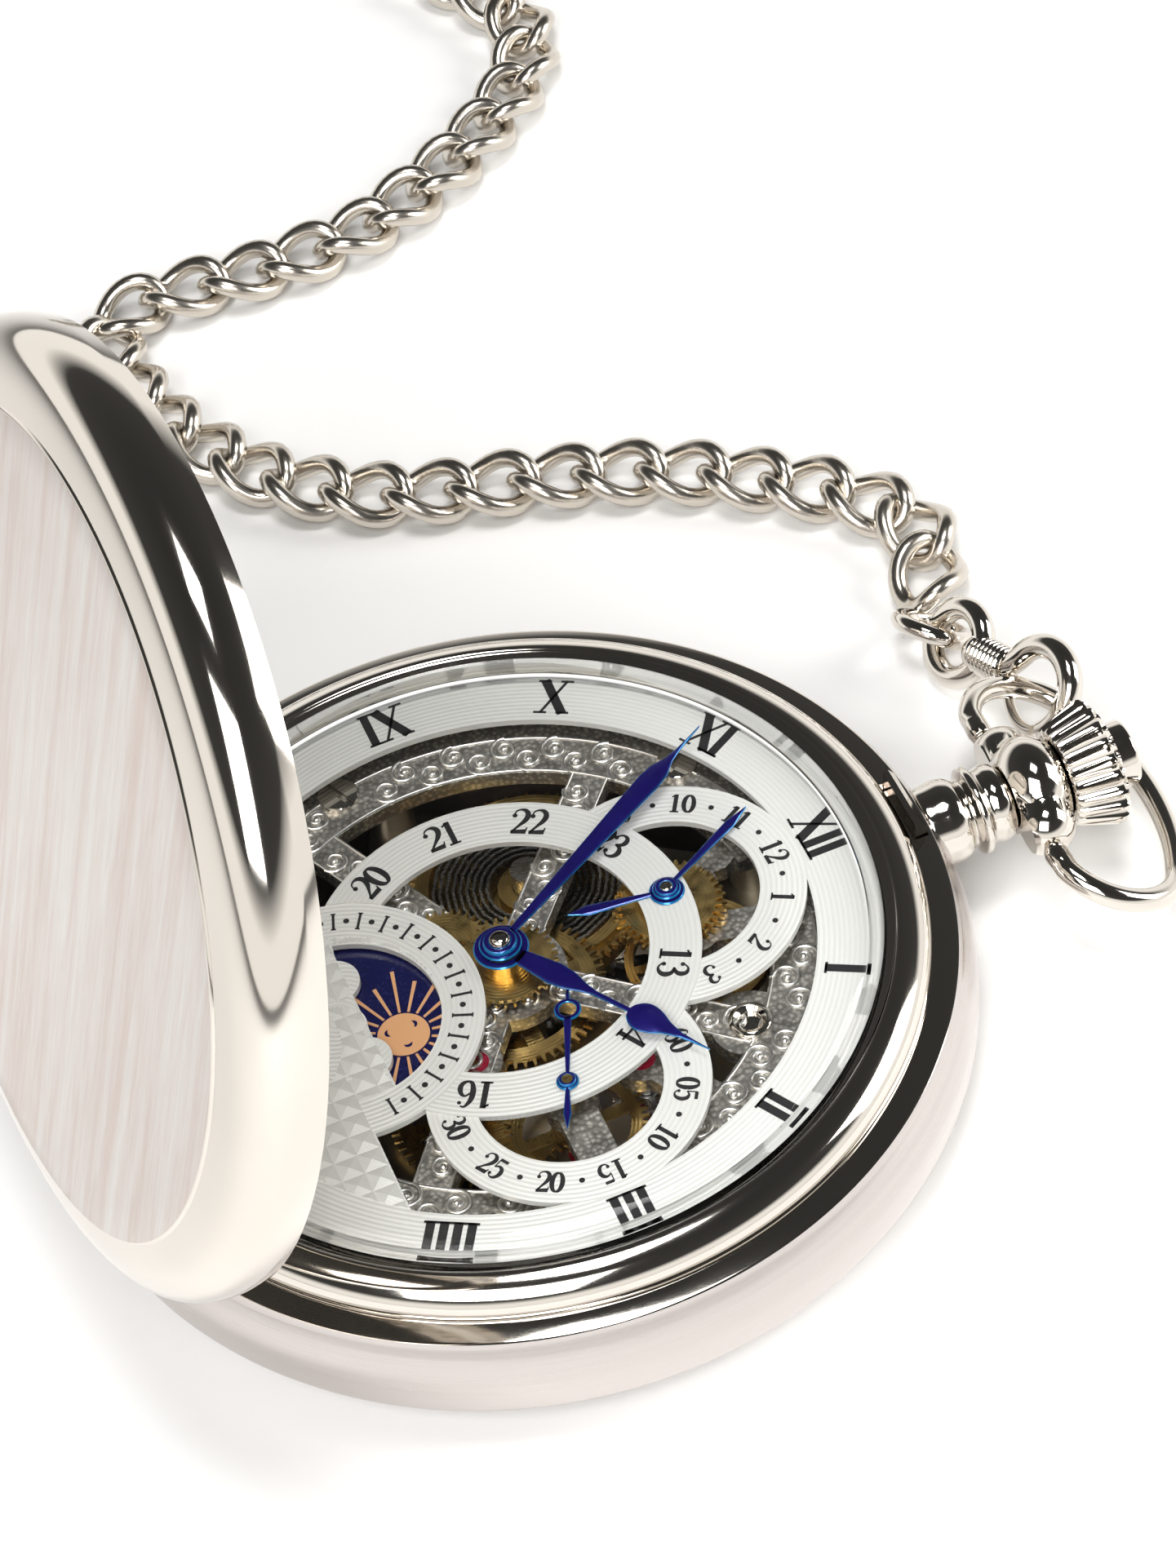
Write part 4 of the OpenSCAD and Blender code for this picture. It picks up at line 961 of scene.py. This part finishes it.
# Each figure: strokes of (x, y, width), then balls of (x, y, radius), in heights of the figure
FIGURES = {
    "1": ([[(0.36, 0, 0.2), (0.36, 1, 0.2)], [(0.37, 0.98, 0.06), (0.14, 0.86, 0.06)],
           [(0.12, 0.03, 0.06), (0.60, 0.03, 0.06)]], []),
    "2": ([[(0.1, 0.78, 0.05), (0.16, 0.93, 0.05), (0.35, 1, 0.06), (0.55, 0.95, 0.14),
            (0.66, 0.78, 0.2), (0.58, 0.56, 0.17), (0.35, 0.32, 0.09), (0.1, 0.06, 0.07)],
           [(0.06, 0.06, 0.12), (0.68, 0.09, 0.16)], [(0.66, 0.09, 0.05), (0.7, 0.26, 0.05)]],
          [(0.12, 0.74, 0.09)]),
    "3": ([[(0.1, 0.84, 0.05), (0.28, 0.97, 0.06), (0.5, 0.93, 0.13), (0.58, 0.76, 0.19),
            (0.48, 0.6, 0.12), (0.28, 0.53, 0.05)],
           [(0.28, 0.53, 0.05), (0.52, 0.48, 0.12), (0.64, 0.28, 0.2), (0.54, 0.09, 0.13),
            (0.3, 0.02, 0.06), (0.1, 0.12, 0.05)]], [(0.1, 0.78, 0.08), (0.12, 0.18, 0.08)]),
    "4": ([[(0.48, 0.98, 0.06), (0.04, 0.3, 0.06)], [(0.04, 0.29, 0.07), (0.72, 0.29, 0.07)],
           [(0.5, 0, 0.18), (0.5, 1, 0.18)], [(0.3, 0.03, 0.06), (0.7, 0.03, 0.06)]], []),
    "5": ([[(0.14, 0.93, 0.12), (0.6, 0.93, 0.12)], [(0.14, 0.95, 0.05), (0.12, 0.52, 0.05)],
           [(0.12, 0.52, 0.05), (0.32, 0.62, 0.08), (0.54, 0.54, 0.17), (0.62, 0.32, 0.2),
            (0.5, 0.08, 0.13), (0.28, 0.01, 0.06), (0.1, 0.1, 0.05)]], [(0.12, 0.17, 0.08)]),
    "6": ([[(0.5, 0.96, 0.05), (0.34, 0.98, 0.07), (0.14, 0.72, 0.17), (0.1, 0.4, 0.2),
            (0.18, 0.1, 0.14), (0.36, 0.02, 0.07), (0.56, 0.12, 0.14), (0.62, 0.3, 0.18),
            (0.54, 0.5, 0.13), (0.38, 0.58, 0.06), (0.2, 0.46, 0.06)]], [(0.56, 0.84, 0.07)]),
    "0": ([ROUND], []),
}
FIGURES["9"] = ([[(0.72 - x, 1 - y, w) for x, y, w in s] for s in FIGURES["6"][0]],
                [(0.72 - x, 1 - y, r) for x, y, r in FIGURES["6"][1]])
FIGURE_W, SQUEEZE = 0.74, 0.80
# Roman figures: strokes with their widths in heights, then the figure's width
ROMAN = {"I": ([((0.11, 0), (0.11, 1), 0.17)], 0.30),
         "V": ([((0.08, 1), (0.36, 0), 0.18), ((0.36, 0), (0.62, 1), 0.055)], 0.72),
         "X": ([((0.08, 1), (0.60, 0), 0.19), ((0.60, 1), (0.08, 0), 0.055)], 0.70)}
SERIFS = {"I": [(0.11, 0), (0.11, 1)], "V": [(0.08, 1), (0.62, 1)],
          "X": [(0.08, 1), (0.60, 1), (0.08, 0), (0.60, 0)]}


def ribbon(points, frame_at, scale, z0, z1):
    """A stroke of changing width as a thin solid. frame_at turns its (x, y) into the dial's."""
    pts = smooth_path(points, 0.07) if len(points) > 2 else [Vector(p) for p in points]
    left, right_side = [], []
    for i, p in enumerate(pts):
        d = pts[min(i + 1, len(pts) - 1)] - pts[max(i - 1, 0)]
        d = Vector((d.x, d.y)).normalized()
        off = Vector((-d.y, d.x)) * p.z * INK_SPREAD / 2
        left.append((p.x + off.x, p.y + off.y))
        right_side.append((p.x - off.x, p.y - off.y))
    rim = [frame_at(x * scale, y * scale) for x, y in right_side + left[::-1]]
    n, m = len(rim), len(pts)
    verts = [(x, y, z) for z in (z0, z1) for x, y in rim]
    faces = [(i, (i + 1) % n, n + (i + 1) % n, n + i) for i in range(n)]
    for i in range(m - 1):
        a, b, c, d = i, i + 1, n - 2 - i, n - 1 - i
        faces += [(a, d, c, b), (n + a, n + b, n + c, n + d)]
    return verts, faces


def dot(x, y, r, z0, z1, sides=20):
    pts = [(x + r * cos(2 * pi * i / sides), y + r * sin(2 * pi * i / sides)) for i in range(sides)]
    return slab(pts, z0, z1)


def upright(about, r, clock, inward=False):
    """Turns a figure's own (x, y) into the dial's, its middle at a radius and a clock angle."""
    a = radians(clock)
    out, side = Vector((sin(a), cos(a))), Vector((cos(a), -sin(a)))
    up, across = (-out, -side) if inward else (out, side)
    middle = about.xy + out * r

    def turned(x, y):
        p = middle + across * x + up * y
        return p.x, p.y
    return turned


def write_number(shape, text, about, r, clock, height, z, inward=False):
    wide = FIGURE_W * SQUEEZE * height
    turned = upright(about, r, clock, inward)
    for i, c in enumerate(text):
        x0 = (i - len(text) / 2) * wide
        strokes, balls = FIGURES[c]

        def at_figure(x, y, x0=x0):
            return turned(x0 + x * SQUEEZE, y - height / 2)
        for s in strokes:
            shape.add(*ribbon(s, at_figure, height, z, z + INK_LIFT))
        for x, y, ball in balls:
            cx, cy = at_figure(x * height, y * height)
            shape.add(*dot(cx, cy, ball * height * 0.9, z, z + INK_LIFT))


def write_roman(shape, text, r, clock, height, z):
    turned = upright(CENTRE, r, clock)
    total = sum(ROMAN[c][1] for c in text)
    x0 = -total / 2 * height
    for c in text:
        strokes, wide = ROMAN[c]

        def at_figure(x, y, x0=x0):
            return turned(x0 + x, y - height / 2)
        for p, q, w in strokes:
            shape.add(*ribbon([(*p, w), (*q, w)], at_figure, height, z, z + INK_LIFT))
        for x, y in SERIFS[c]:
            low, high = (y, y + 0.045) if y == 0 else (y - 0.045, y)
            shape.add(*ribbon([(x - 0.15, (low + high) / 2, 0.05), (x + 0.15, (low + high) / 2, 0.05)],
                              at_figure, height, z, z + INK_LIFT))
        x0 += wide * height


ROMAN_R, ROMAN_H, DAY_FIGURE_R, DAY_FIGURE_H = 19.05, 2.5, 9.55, 1.75
romans = ["XII", "I", "II", "III", "IIII", "V", "VI", "VII", "VIII", "IX", "X", "XI"]
ink = Shape()
for i, text in enumerate(romans):
    write_roman(ink, text, ROMAN_R, 30 * i, ROMAN_H, DIAL_Z)
ink.done("hour_figures", INK, "case")

ink = Shape()
for hour in (13, 14, 16, 20, 21, 22, 23):
    write_number(ink, str(hour), CENTRE, DAY_FIGURE_R, 30 * (hour - 12), DAY_FIGURE_H, DAY_RING_Z)
ink.done("day_ring_figures", INK, "case")

SUB_FIGURE, SUB_FIGURE_R, DOT_R = 1.3, 6.45, 0.16


def write_dots(shape, about, clocks):
    """The dots between the figures of a small dial."""
    for a in map(radians, clocks):
        shape.add(*dot(about.x + SUB_FIGURE_R * sin(a), about.y + SUB_FIGURE_R * cos(a), DOT_R,
                       DIAL_Z, DIAL_Z + INK_LIFT))


ink = Shape()
for hour in (9, 10, 11, 12, 1, 2, 3):
    write_number(ink, str(hour), DUAL_AT, SUB_FIGURE_R, 30 * hour, SUB_FIGURE, DIAL_Z)
write_dots(ink, DUAL_AT, range(-75, 76, 30))
for i, text in enumerate(("60", "05", "10", "15", "20", "25", "30")):
    write_number(ink, text, SECONDS_AT, SUB_FIGURE_R, 30 * i, SUB_FIGURE, DIAL_Z, inward=i > 3)
write_dots(ink, SECONDS_AT, range(15, 180, 30))
ink.done("small_dial_figures", INK, "case")

TICK_R, TICK_LEN, TICK_W = 6.95, 1.1, 0.13
ink = Shape()
for clock in range(-84, 85, 12):
    turned = upright(DAY_AT, TICK_R, clock)
    ink.add(*ribbon([(0, -TICK_LEN / 2, TICK_W), (0, TICK_LEN / 2, TICK_W)], turned, 1,
                    DIAL_Z, DIAL_Z + INK_LIFT))
    for y in (-TICK_LEN / 2, TICK_LEN / 2):
        ink.add(*ribbon([(-0.14, y, 0.07), (0.14, y, 0.07)], turned, 1, DIAL_Z, DIAL_Z + INK_LIFT))
    if clock < 84:
        x, y = upright(DAY_AT, TICK_R, clock + 6)(0, 0)
        ink.add(*dot(x, y, 0.17, DIAL_Z, DIAL_Z + INK_LIFT))
ink.done("day_night_track", INK, "case")


# ---- Pyramids, sun and disc ----

CELL, APEX = 1.3, 0.12
WINDOW_AT, WINDOW_R = Vector((0.3, -9.6)), 5.55
CLOUDS = [(-2.6, -9.1, 1.5), (-5, -9.8, 1.5), (0.6, -9.9, 1.6), (3.2, -9.3, 1.5), (5.4, -9.8, 1.4)]
CLOUD_TOP_Y, PLATE_EDGE_Y, TRACK_IN, PLATE_R = -8.4, -10.5, 5.85, 17.3
MEDAL_AT, MEDAL_R = Vector((0.4, -14.45)), 4.45


def on_plate(x, y):
    """Whether a point of the dial carries the pyramid pattern."""
    if hypot(x - MEDAL_AT.x, y - MEDAL_AT.y) < MEDAL_R or hypot(x, y) > PLATE_R:
        return False
    if hypot(x - WINDOW_AT.x, y - WINDOW_AT.y) < WINDOW_R and y > CLOUD_TOP_Y:
        return False
    cloud = y < PLATE_EDGE_Y - 0.1 or any(hypot(x - cx, y - cy) < cr - 0.05 for cx, cy, cr in CLOUDS)
    if hypot(x - WINDOW_AT.x, y - WINDOW_AT.y) < WINDOW_R:
        return cloud
    return hypot(x - DAY_AT.x, y - DAY_AT.y) < TRACK_IN or y < PLATE_EDGE_Y


def clipped_pyramid(shape, x0, y0, parts=12):
    """The part of one pyramid that lies on the plate, as a fine closed height field."""
    step, index, verts, faces = CELL / parts, {}, [], []
    cells = {(i, j) for i in range(parts) for j in range(parts)
             if all(on_plate(x0 + (i + a) * step, y0 + (j + b) * step)
                    for a in (0, 1) for b in (0, 1))}

    def at_grid(i, j, top):
        key = (i, j, top)
        if key not in index:
            index[key] = len(verts)
            off = max(abs(2 * i / parts - 1), abs(2 * j / parts - 1))
            verts.append((x0 + i * step, y0 + j * step,
                          DIAL_Z + APEX * (1 - off) if top else DIAL_Z - 0.02))
        return index[key]
    for i, j in cells:
        c = [(i, j), (i + 1, j), (i + 1, j + 1), (i, j + 1)]
        t, u = [at_grid(*q, True) for q in c], [at_grid(*q, False) for q in c]
        if i == j:
            faces += [(t[0], t[1], t[2]), (t[0], t[2], t[3])]
        else:
            faces += [(t[0], t[1], t[3]), (t[1], t[2], t[3])]
        faces.append((u[3], u[2], u[1], u[0]))
        for k, (di, dj) in enumerate(((0, -1), (1, 0), (0, 1), (-1, 0))):
            if (i + di, j + dj) not in cells:
                m = (k + 1) % 4
                faces.append((u[k], u[m], t[m], t[k]))
    shape.add(verts, faces)


fields = Shape()
HALF_CELL = CELL / 2
for i in range(-14, 14):
    for j in range(-14, 0):
        x, y = i * CELL, j * CELL - 0.2
        corners = [(x, y), (x + CELL, y), (x + CELL, y + CELL), (x, y + CELL)]
        if all(on_plate(*c) for c in corners + [(x + HALF_CELL, y + HALF_CELL)]):
            fields.add([(cx, cy, DIAL_Z - 0.02) for cx, cy in corners]
                       + [(cx, cy, DIAL_Z) for cx, cy in corners]
                       + [(x + HALF_CELL, y + HALF_CELL, DIAL_Z + APEX)],
                       [(3, 2, 1, 0)] + [(k, (k + 1) % 4, 4 + (k + 1) % 4, 4 + k) for k in range(4)]
                       + [(4 + k, 4 + (k + 1) % 4, 8) for k in range(4)])
        elif any(on_plate(x + CELL * a / 4, y + CELL * b / 4) for a in range(5) for b in range(5)):
            clipped_pyramid(fields, x, y)
fields.done("pyramid_fields", PYRAMID, "case", angle=5)

SUN_AT, SUN_R, SUN_RAYS = Vector((2.15, -6.75)), 1.45, 20
SUN_Z = hi_mm("sun_disc").z
DISC_R = 6.1
sun = Shape()
for i in range(SUN_RAYS):
    a = 2 * pi * (i + 0.35) / SUN_RAYS
    d = Vector((cos(a), sin(a)))
    reach = 4.5 if i % 2 else 3.7
    while reach > SUN_R + 0.3 and (SUN_AT + d * reach - DAY_AT.xy).length > DISC_R:
        reach -= 0.1
    base, tip = SUN_AT + d * (SUN_R + 0.12), SUN_AT + d * reach
    side = Vector((-d.y, d.x))
    sun.add(*slab([tuple(base + side * 0.07), tuple(base - side * 0.07), tuple(tip - side * 0.11),
                   tuple(tip + side * 0.11)][::-1], SUN_Z, SUN_Z + 0.04))
sun.add(*dot(SUN_AT.x, SUN_AT.y, SUN_R, SUN_Z, SUN_Z + 0.05, 64))
sun.done("sun_and_rays", ROSE, "day")
face = Shape()
for fx, fy, turned_to in ((-0.43, -0.62, -90), (-0.43, 0.62, 90), (0.62, 0, 0)):
    line = []
    for k in range(9):
        a = radians(turned_to - 70 + 140 * k / 8)
        line.append((SUN_AT.x + fx + 0.24 * cos(a), SUN_AT.y + fy + 0.24 * sin(a),
                     0.03 + 0.13 * sin(pi * k / 8)))
    face.add(*ribbon(line, lambda x, y: (x, y), 1, SUN_Z + 0.045, SUN_Z + 0.062))
face.done("sun_face", NIGHT, "day")


# ---- Hands ----

def blade(half_outline, z0, z1, bevel):
    """A hand's blade from its right half, base to tip, with bevelled upper edges."""
    verts, n = [], len(half_outline)
    for x, y in half_outline:
        inner = max(x - bevel, x * 0.4)
        verts += [(-x, y, z0), (x, y, z0), (x, y, z1 - bevel * 0.6), (inner, y, z1),
                  (-inner, y, z1), (-x, y, z1 - bevel * 0.6)]
    faces = [(5, 4, 3, 2, 1, 0), tuple(6 * (n - 1) + k for k in range(6))]
    for i in range(n - 1):
        a, b = 6 * i, 6 * (i + 1)
        faces += [(a + k, a + (k + 1) % 6, b + (k + 1) % 6, b + k) for k in range(6)]
    return verts, faces


def hub(outer, bore, z0, z1, ease=0.07):
    return lathe([(bore, z0), (outer, z0), (outer, z1 - ease), (outer - ease, z1),
                  (bore + ease / 2, z1), (bore, z1 - ease / 2)], 72)


def hand_at(about, clock):
    return Matrix.Translation((about.x, about.y, 0)) @ Matrix.Rotation(-radians(clock), 4, "Z")


def curve2(points, step=0.15):
    return [(p.x, p.y) for p in smooth_path(points, step)]


# Lowest and highest level of each hand
HOUR_Z, MINUTE_Z, SECONDS_Z = (9.72, 9.84), (10.05, 10.17), (9.25, 9.35)
DUAL_HOUR_Z, DUAL_MINUTE_Z = (9.15, 9.25), (9.36, 9.46)
# Where each hand points, in degrees clockwise from its dial's twelve
HOUR_CLOCK, MINUTE_CLOCK, SECONDS_CLOCK = 57.1, -31.1, -68.4
DUAL_HOUR_CLOCK, DUAL_MINUTE_CLOCK = 189, -28.5
spade = curve2([(0.14, 8.6), (0.5, 8.75), (0.85, 9.2), (0.92, 9.75), (0.75, 10.4), (0.42, 11.1),
                (0.16, 12.0)])
Shape().add(*blade([(0.5, 1.2), (0.62, 2.4), (0.74, 3.6), (0.62, 4.6), (0.3, 5.6), (0.16, 6.3)]
                   + spade + [(0.015, 13.9)], *HOUR_Z, 0.09), hand_at(CENTRE, HOUR_CLOCK)).add(
    *hub(1.55, 1.1, *HOUR_Z)).done(
        "hour_blade", BLUE, "hour", replaces=("hour_hand",))
lance = [(0.22, 1.0), (0.3, 3), (0.7, 13.6), (0.62, 14.6), (0.24, 15.6), (0.12, 16.4),
         (0.015, 18.5)]
Shape().add(*blade(lance, *MINUTE_Z, 0.09), hand_at(CENTRE, MINUTE_CLOCK)).add(
    *hub(1.2, 0.7, *MINUTE_Z)).add(
    *lathe(rounded([(0.5, 10.16), (1.0, 10.16), (0.9, 10.42), (0.62, 10.42)], 0.1), 64)).done(
        "minute_blade", BLUE, "minute", replaces=("minute_hand",))
Shape().add(*lathe([(0, 10.16), (0.58, 10.16), (0.6, 10.5), (0.56, 10.58)]
                   + bezier((0.5, 10.64), (0.35, 10.76), (0, 10.78), 8), 64)).done(
                       "minute_cap", STEEL, "minute")
AT_DUAL = Matrix.Translation((DUAL_AT.x, DUAL_AT.y, 0))
Shape().add(*blade([(0.12, 0.6), (0.3, 5.6), (0.012, 7.1)], *DUAL_MINUTE_Z, 0.07),
            hand_at(DUAL_AT, DUAL_MINUTE_CLOCK)).add(
    *hub(0.8, 0.32, *DUAL_MINUTE_Z), AT_DUAL).add(
    *lathe(rounded([(0.34, 9.45), (0.66, 9.45), (0.6, 9.6), (0.38, 9.6)], 0.05), 48), AT_DUAL).done(
        "dual_minute_blade", BLUE, "dual_minute", replaces=("dual_minute_hand",))
Shape().add(*lathe([(0, 9.45), (0.35, 9.45), (0.35, 9.58)]
                   + bezier((0.33, 9.61), (0.2, 9.67), (0, 9.67), 6), 48), AT_DUAL).done(
                       "dual_cap", STEEL, "dual_minute")
Shape().add(*blade([(0.14, 0.8), (0.36, 4.5), (0.02, 5.65)], *DUAL_HOUR_Z, 0.07),
            hand_at(DUAL_AT, DUAL_HOUR_CLOCK)).add(
    *hub(1.0, 0.6, *DUAL_HOUR_Z), AT_DUAL).done(
        "dual_hour_blade", BLUE, "dual_hour", replaces=("dual_hour_hand",))

EYELET_Y, on_seconds = 4.84, hand_at(SECONDS_AT, SECONDS_CLOCK)
Shape().add(*blade([(0.1, 0.45), (0.22, 4.3)], *SECONDS_Z, 0.05), on_seconds).add(
    *blade([(0.14, 5.45), (0.012, 7.2)], *SECONDS_Z, 0.05), on_seconds).add(
    *blade([(0.1, 0.45), (0.22, 2.2), (0.012, 3.2)], *SECONDS_Z, 0.06),
    on_seconds @ Matrix.Rotation(pi, 4, "Z")).add(
    *hub(0.62, 0.3, *SECONDS_Z), on_seconds).add(
    *hub(0.75, 0.48, *SECONDS_Z), on_seconds @ Matrix.Translation((0, EYELET_Y, 0))).add(
    *lathe(rounded([(0.31, 9.34), (0.5, 9.34), (0.44, 9.5), (0.31, 9.5)], 0.04), 40),
    on_seconds).done("seconds_blade", BLUE, "fourth", replaces=("seconds_hand",))


# ---- Plate: screws, pillar ring and engraved scrolls ----

PLATE_TOP = hi_mm("main_plate").z
SCREWS = [(-16.4, -4.1), (16.2, -6.8), (-9.6, 14.2), (-6.5, -15.6)]
PILLAR_AT = (9.3, 10.7)
HEAD_R, HEAD_TOP, SLOT_HALF, SLOT_FLOOR = 1.2, 7.9, 0.17, 7.72
screws = Shape()
for i, (x, y) in enumerate(SCREWS):
    stand = Matrix.Translation((x, y, 0)) @ Matrix.Rotation(radians(25 + 50 * i), 4, "Z")
    screws.add(*lathe([(0, 7.4), (HEAD_R, 7.4), (HEAD_R, SLOT_FLOOR), (0, SLOT_FLOOR)], 48), stand)
    for s in (0, pi):
        a0 = atan2(SLOT_HALF, HEAD_R)
        rim = [(HEAD_R * cos(a), HEAD_R * sin(a))
               for a in (a0 + (pi - 2 * a0) * k / 24 for k in range(25))]
        screws.add(*slab(rim, SLOT_FLOOR - 0.01, HEAD_TOP, 0.05),
                   stand @ Matrix.Rotation(s, 4, "Z"))
pillar = Matrix.Translation((*PILLAR_AT, 0))
screws.add(*lathe(rounded([(0.62, 7.4), (1.2, 7.4), (1.2, 7.78), (0.95, 7.9), (0.62, 7.66)], 0.05),
                  64), pillar)
screws.add(*lathe([(0, 7.3), (0.62, 7.3), (0.62, 7.45), (0, 7.45)], 32), pillar)
screws.done("plate_screw_heads", STEEL, "case", replaces=("plate_screws",))


VOLUTE_TURNS, VOLUTE_CLOSES, VOLUTE_WIRE_R = 1.4, 0.72, 0.15


def spiral(shape, x, y, size, heading, hand):
    """One engraved volute with a bead at its eye."""
    line = []
    for k in range(27):
        t = k / 26
        a = heading + hand * 2 * pi * VOLUTE_TURNS * t
        r = size * (1 - VOLUTE_CLOSES * t)
        line.append((x + r * cos(a), y + r * sin(a), PLATE_TOP + 0.03))
    shape.add(*tube(line, lambda t: VOLUTE_WIRE_R * (1 - 0.3 * t), 8, flat=0.9))
    shape.add(*lathe([(0, PLATE_TOP - 0.02), (0.22, PLATE_TOP - 0.02), (0.21, PLATE_TOP + 0.1),
                      (0.12, PLATE_TOP + 0.2), (0, PLATE_TOP + 0.22)], 16),
              Matrix.Translation((x, y, 0)))


scrolls = Shape()
BAND_R, VOLUTES, STEM_HALF = 16.0, 70, 2.2
for i in range(VOLUTES):
    a = 2 * pi * i / VOLUTES
    out = 0.42 if i % 2 else -0.42
    x, y = (BAND_R + out) * cos(a), (BAND_R + out) * sin(a)
    if abs(x) < STEM_HALF and y > 0:
        continue
    if any(hypot(x - sx, y - sy) < 1.9 for sx, sy in SCREWS + [PILLAR_AT]):
        continue
    hand = 1 if i % 2 else -1
    spiral(scrolls, x, y, 0.84, a + (0 if i % 2 else pi), hand)
for r in (14.75, 17.2):
    edge = [(r * cos(radians(t)), r * sin(radians(t)), PLATE_TOP + 0.02) for t in range(99, 442, 3)]
    scrolls.add(*tube(edge, 0.09, 8))
for a in (48, 140, 205, 323):
    c, s = cos(radians(a)), sin(radians(a))
    for k in range(8):
        r = 3.4 + 1.42 * k
        side = 0.3 if k % 2 else -0.3
        x, y = r * c - side * s, r * s + side * c
        if any(hypot(x - p.x, y - p.y) < 1.3 for p in (SECONDS_AT, DUAL_AT, DAY_AT, BALANCE_AT)):
            continue
        spiral(scrolls, x, y, 0.78, radians(a) + (pi / 2 if k % 2 else -pi / 2), 1 if k % 2 else -1)
    for side in (-1.02, 1.02):
        scrolls.add(*tube([(r * c - side * s, r * s + side * c, PLATE_TOP + 0.02)
                           for r in (3.3, 6, 10, 14.7)], 0.08, 8))
for t in range(0, 360, 45):
    spiral(scrolls, 2.3 * cos(radians(t + 10)), 2.3 * sin(radians(t + 10)), 0.55,
           radians(t + 10), 1)
scrolls.done("plate_scrolls", SCROLL_METAL, "case", angle=60)


# ---- Materials of the CAD pieces that are seen as they are ----

def coat(material, *names):
    for name in names:
        mesh = frame["nodes"][name].data
        mesh.materials.clear()
        mesh.materials.append(material)


coat(DIAL, "dial_plate")
coat(DAY_RING, "day_ring")
coat(NIGHT, "sun_disc")
coat(RUBY, "jewels")
coat(STEEL, "lid_hinge_pin", "lid_latch")
coat(GREY_STEEL, "lid_spring", "latch_spring", "winding_stem", "winding_pinion", "barrel_arbor",
     "click", "pallet_fork", "mainspring")
coat(BLUE, "hairspring")
coat(UNDER_METAL, "train_bridge", "barrel_bridge", "balance_cock", "movement_ring")
coat(PLATE_METAL, "main_plate")
for name, hinge in (("mainspring_barrel", "barrel_turn"), ("ratchet_wheel", "ratchet_turn"),
                    ("crown_wheel", "crown_wheel_turn"), ("centre_wheel", "centre_turn"),
                    ("third_wheel", "third_turn"), ("fourth_wheel", "seconds_turn"),
                    ("escape_wheel", "escape_turn"), ("balance_wheel", "balance_swing"),
                    ("cannon_pinion", "minute_turn"), ("hour_wheel", "hour_turn"),
                    ("minute_wheel", "minute_wheel_turn"), ("dual_minute_wheel", "dual_minute_turn"),
                    ("dual_hour_wheel", "dual_hour_turn"), ("day_wheel", "day_turn")):
    where = joint_at(hinge)
    steel_one = name in ("ratchet_wheel", "crown_wheel", "escape_wheel")
    coat(turned_brass("turned_" + name, (where.x, where.y, 0),
                      (0.56, 0.55, 0.53) if steel_one else (0.83, 0.58, 0.22)), name)
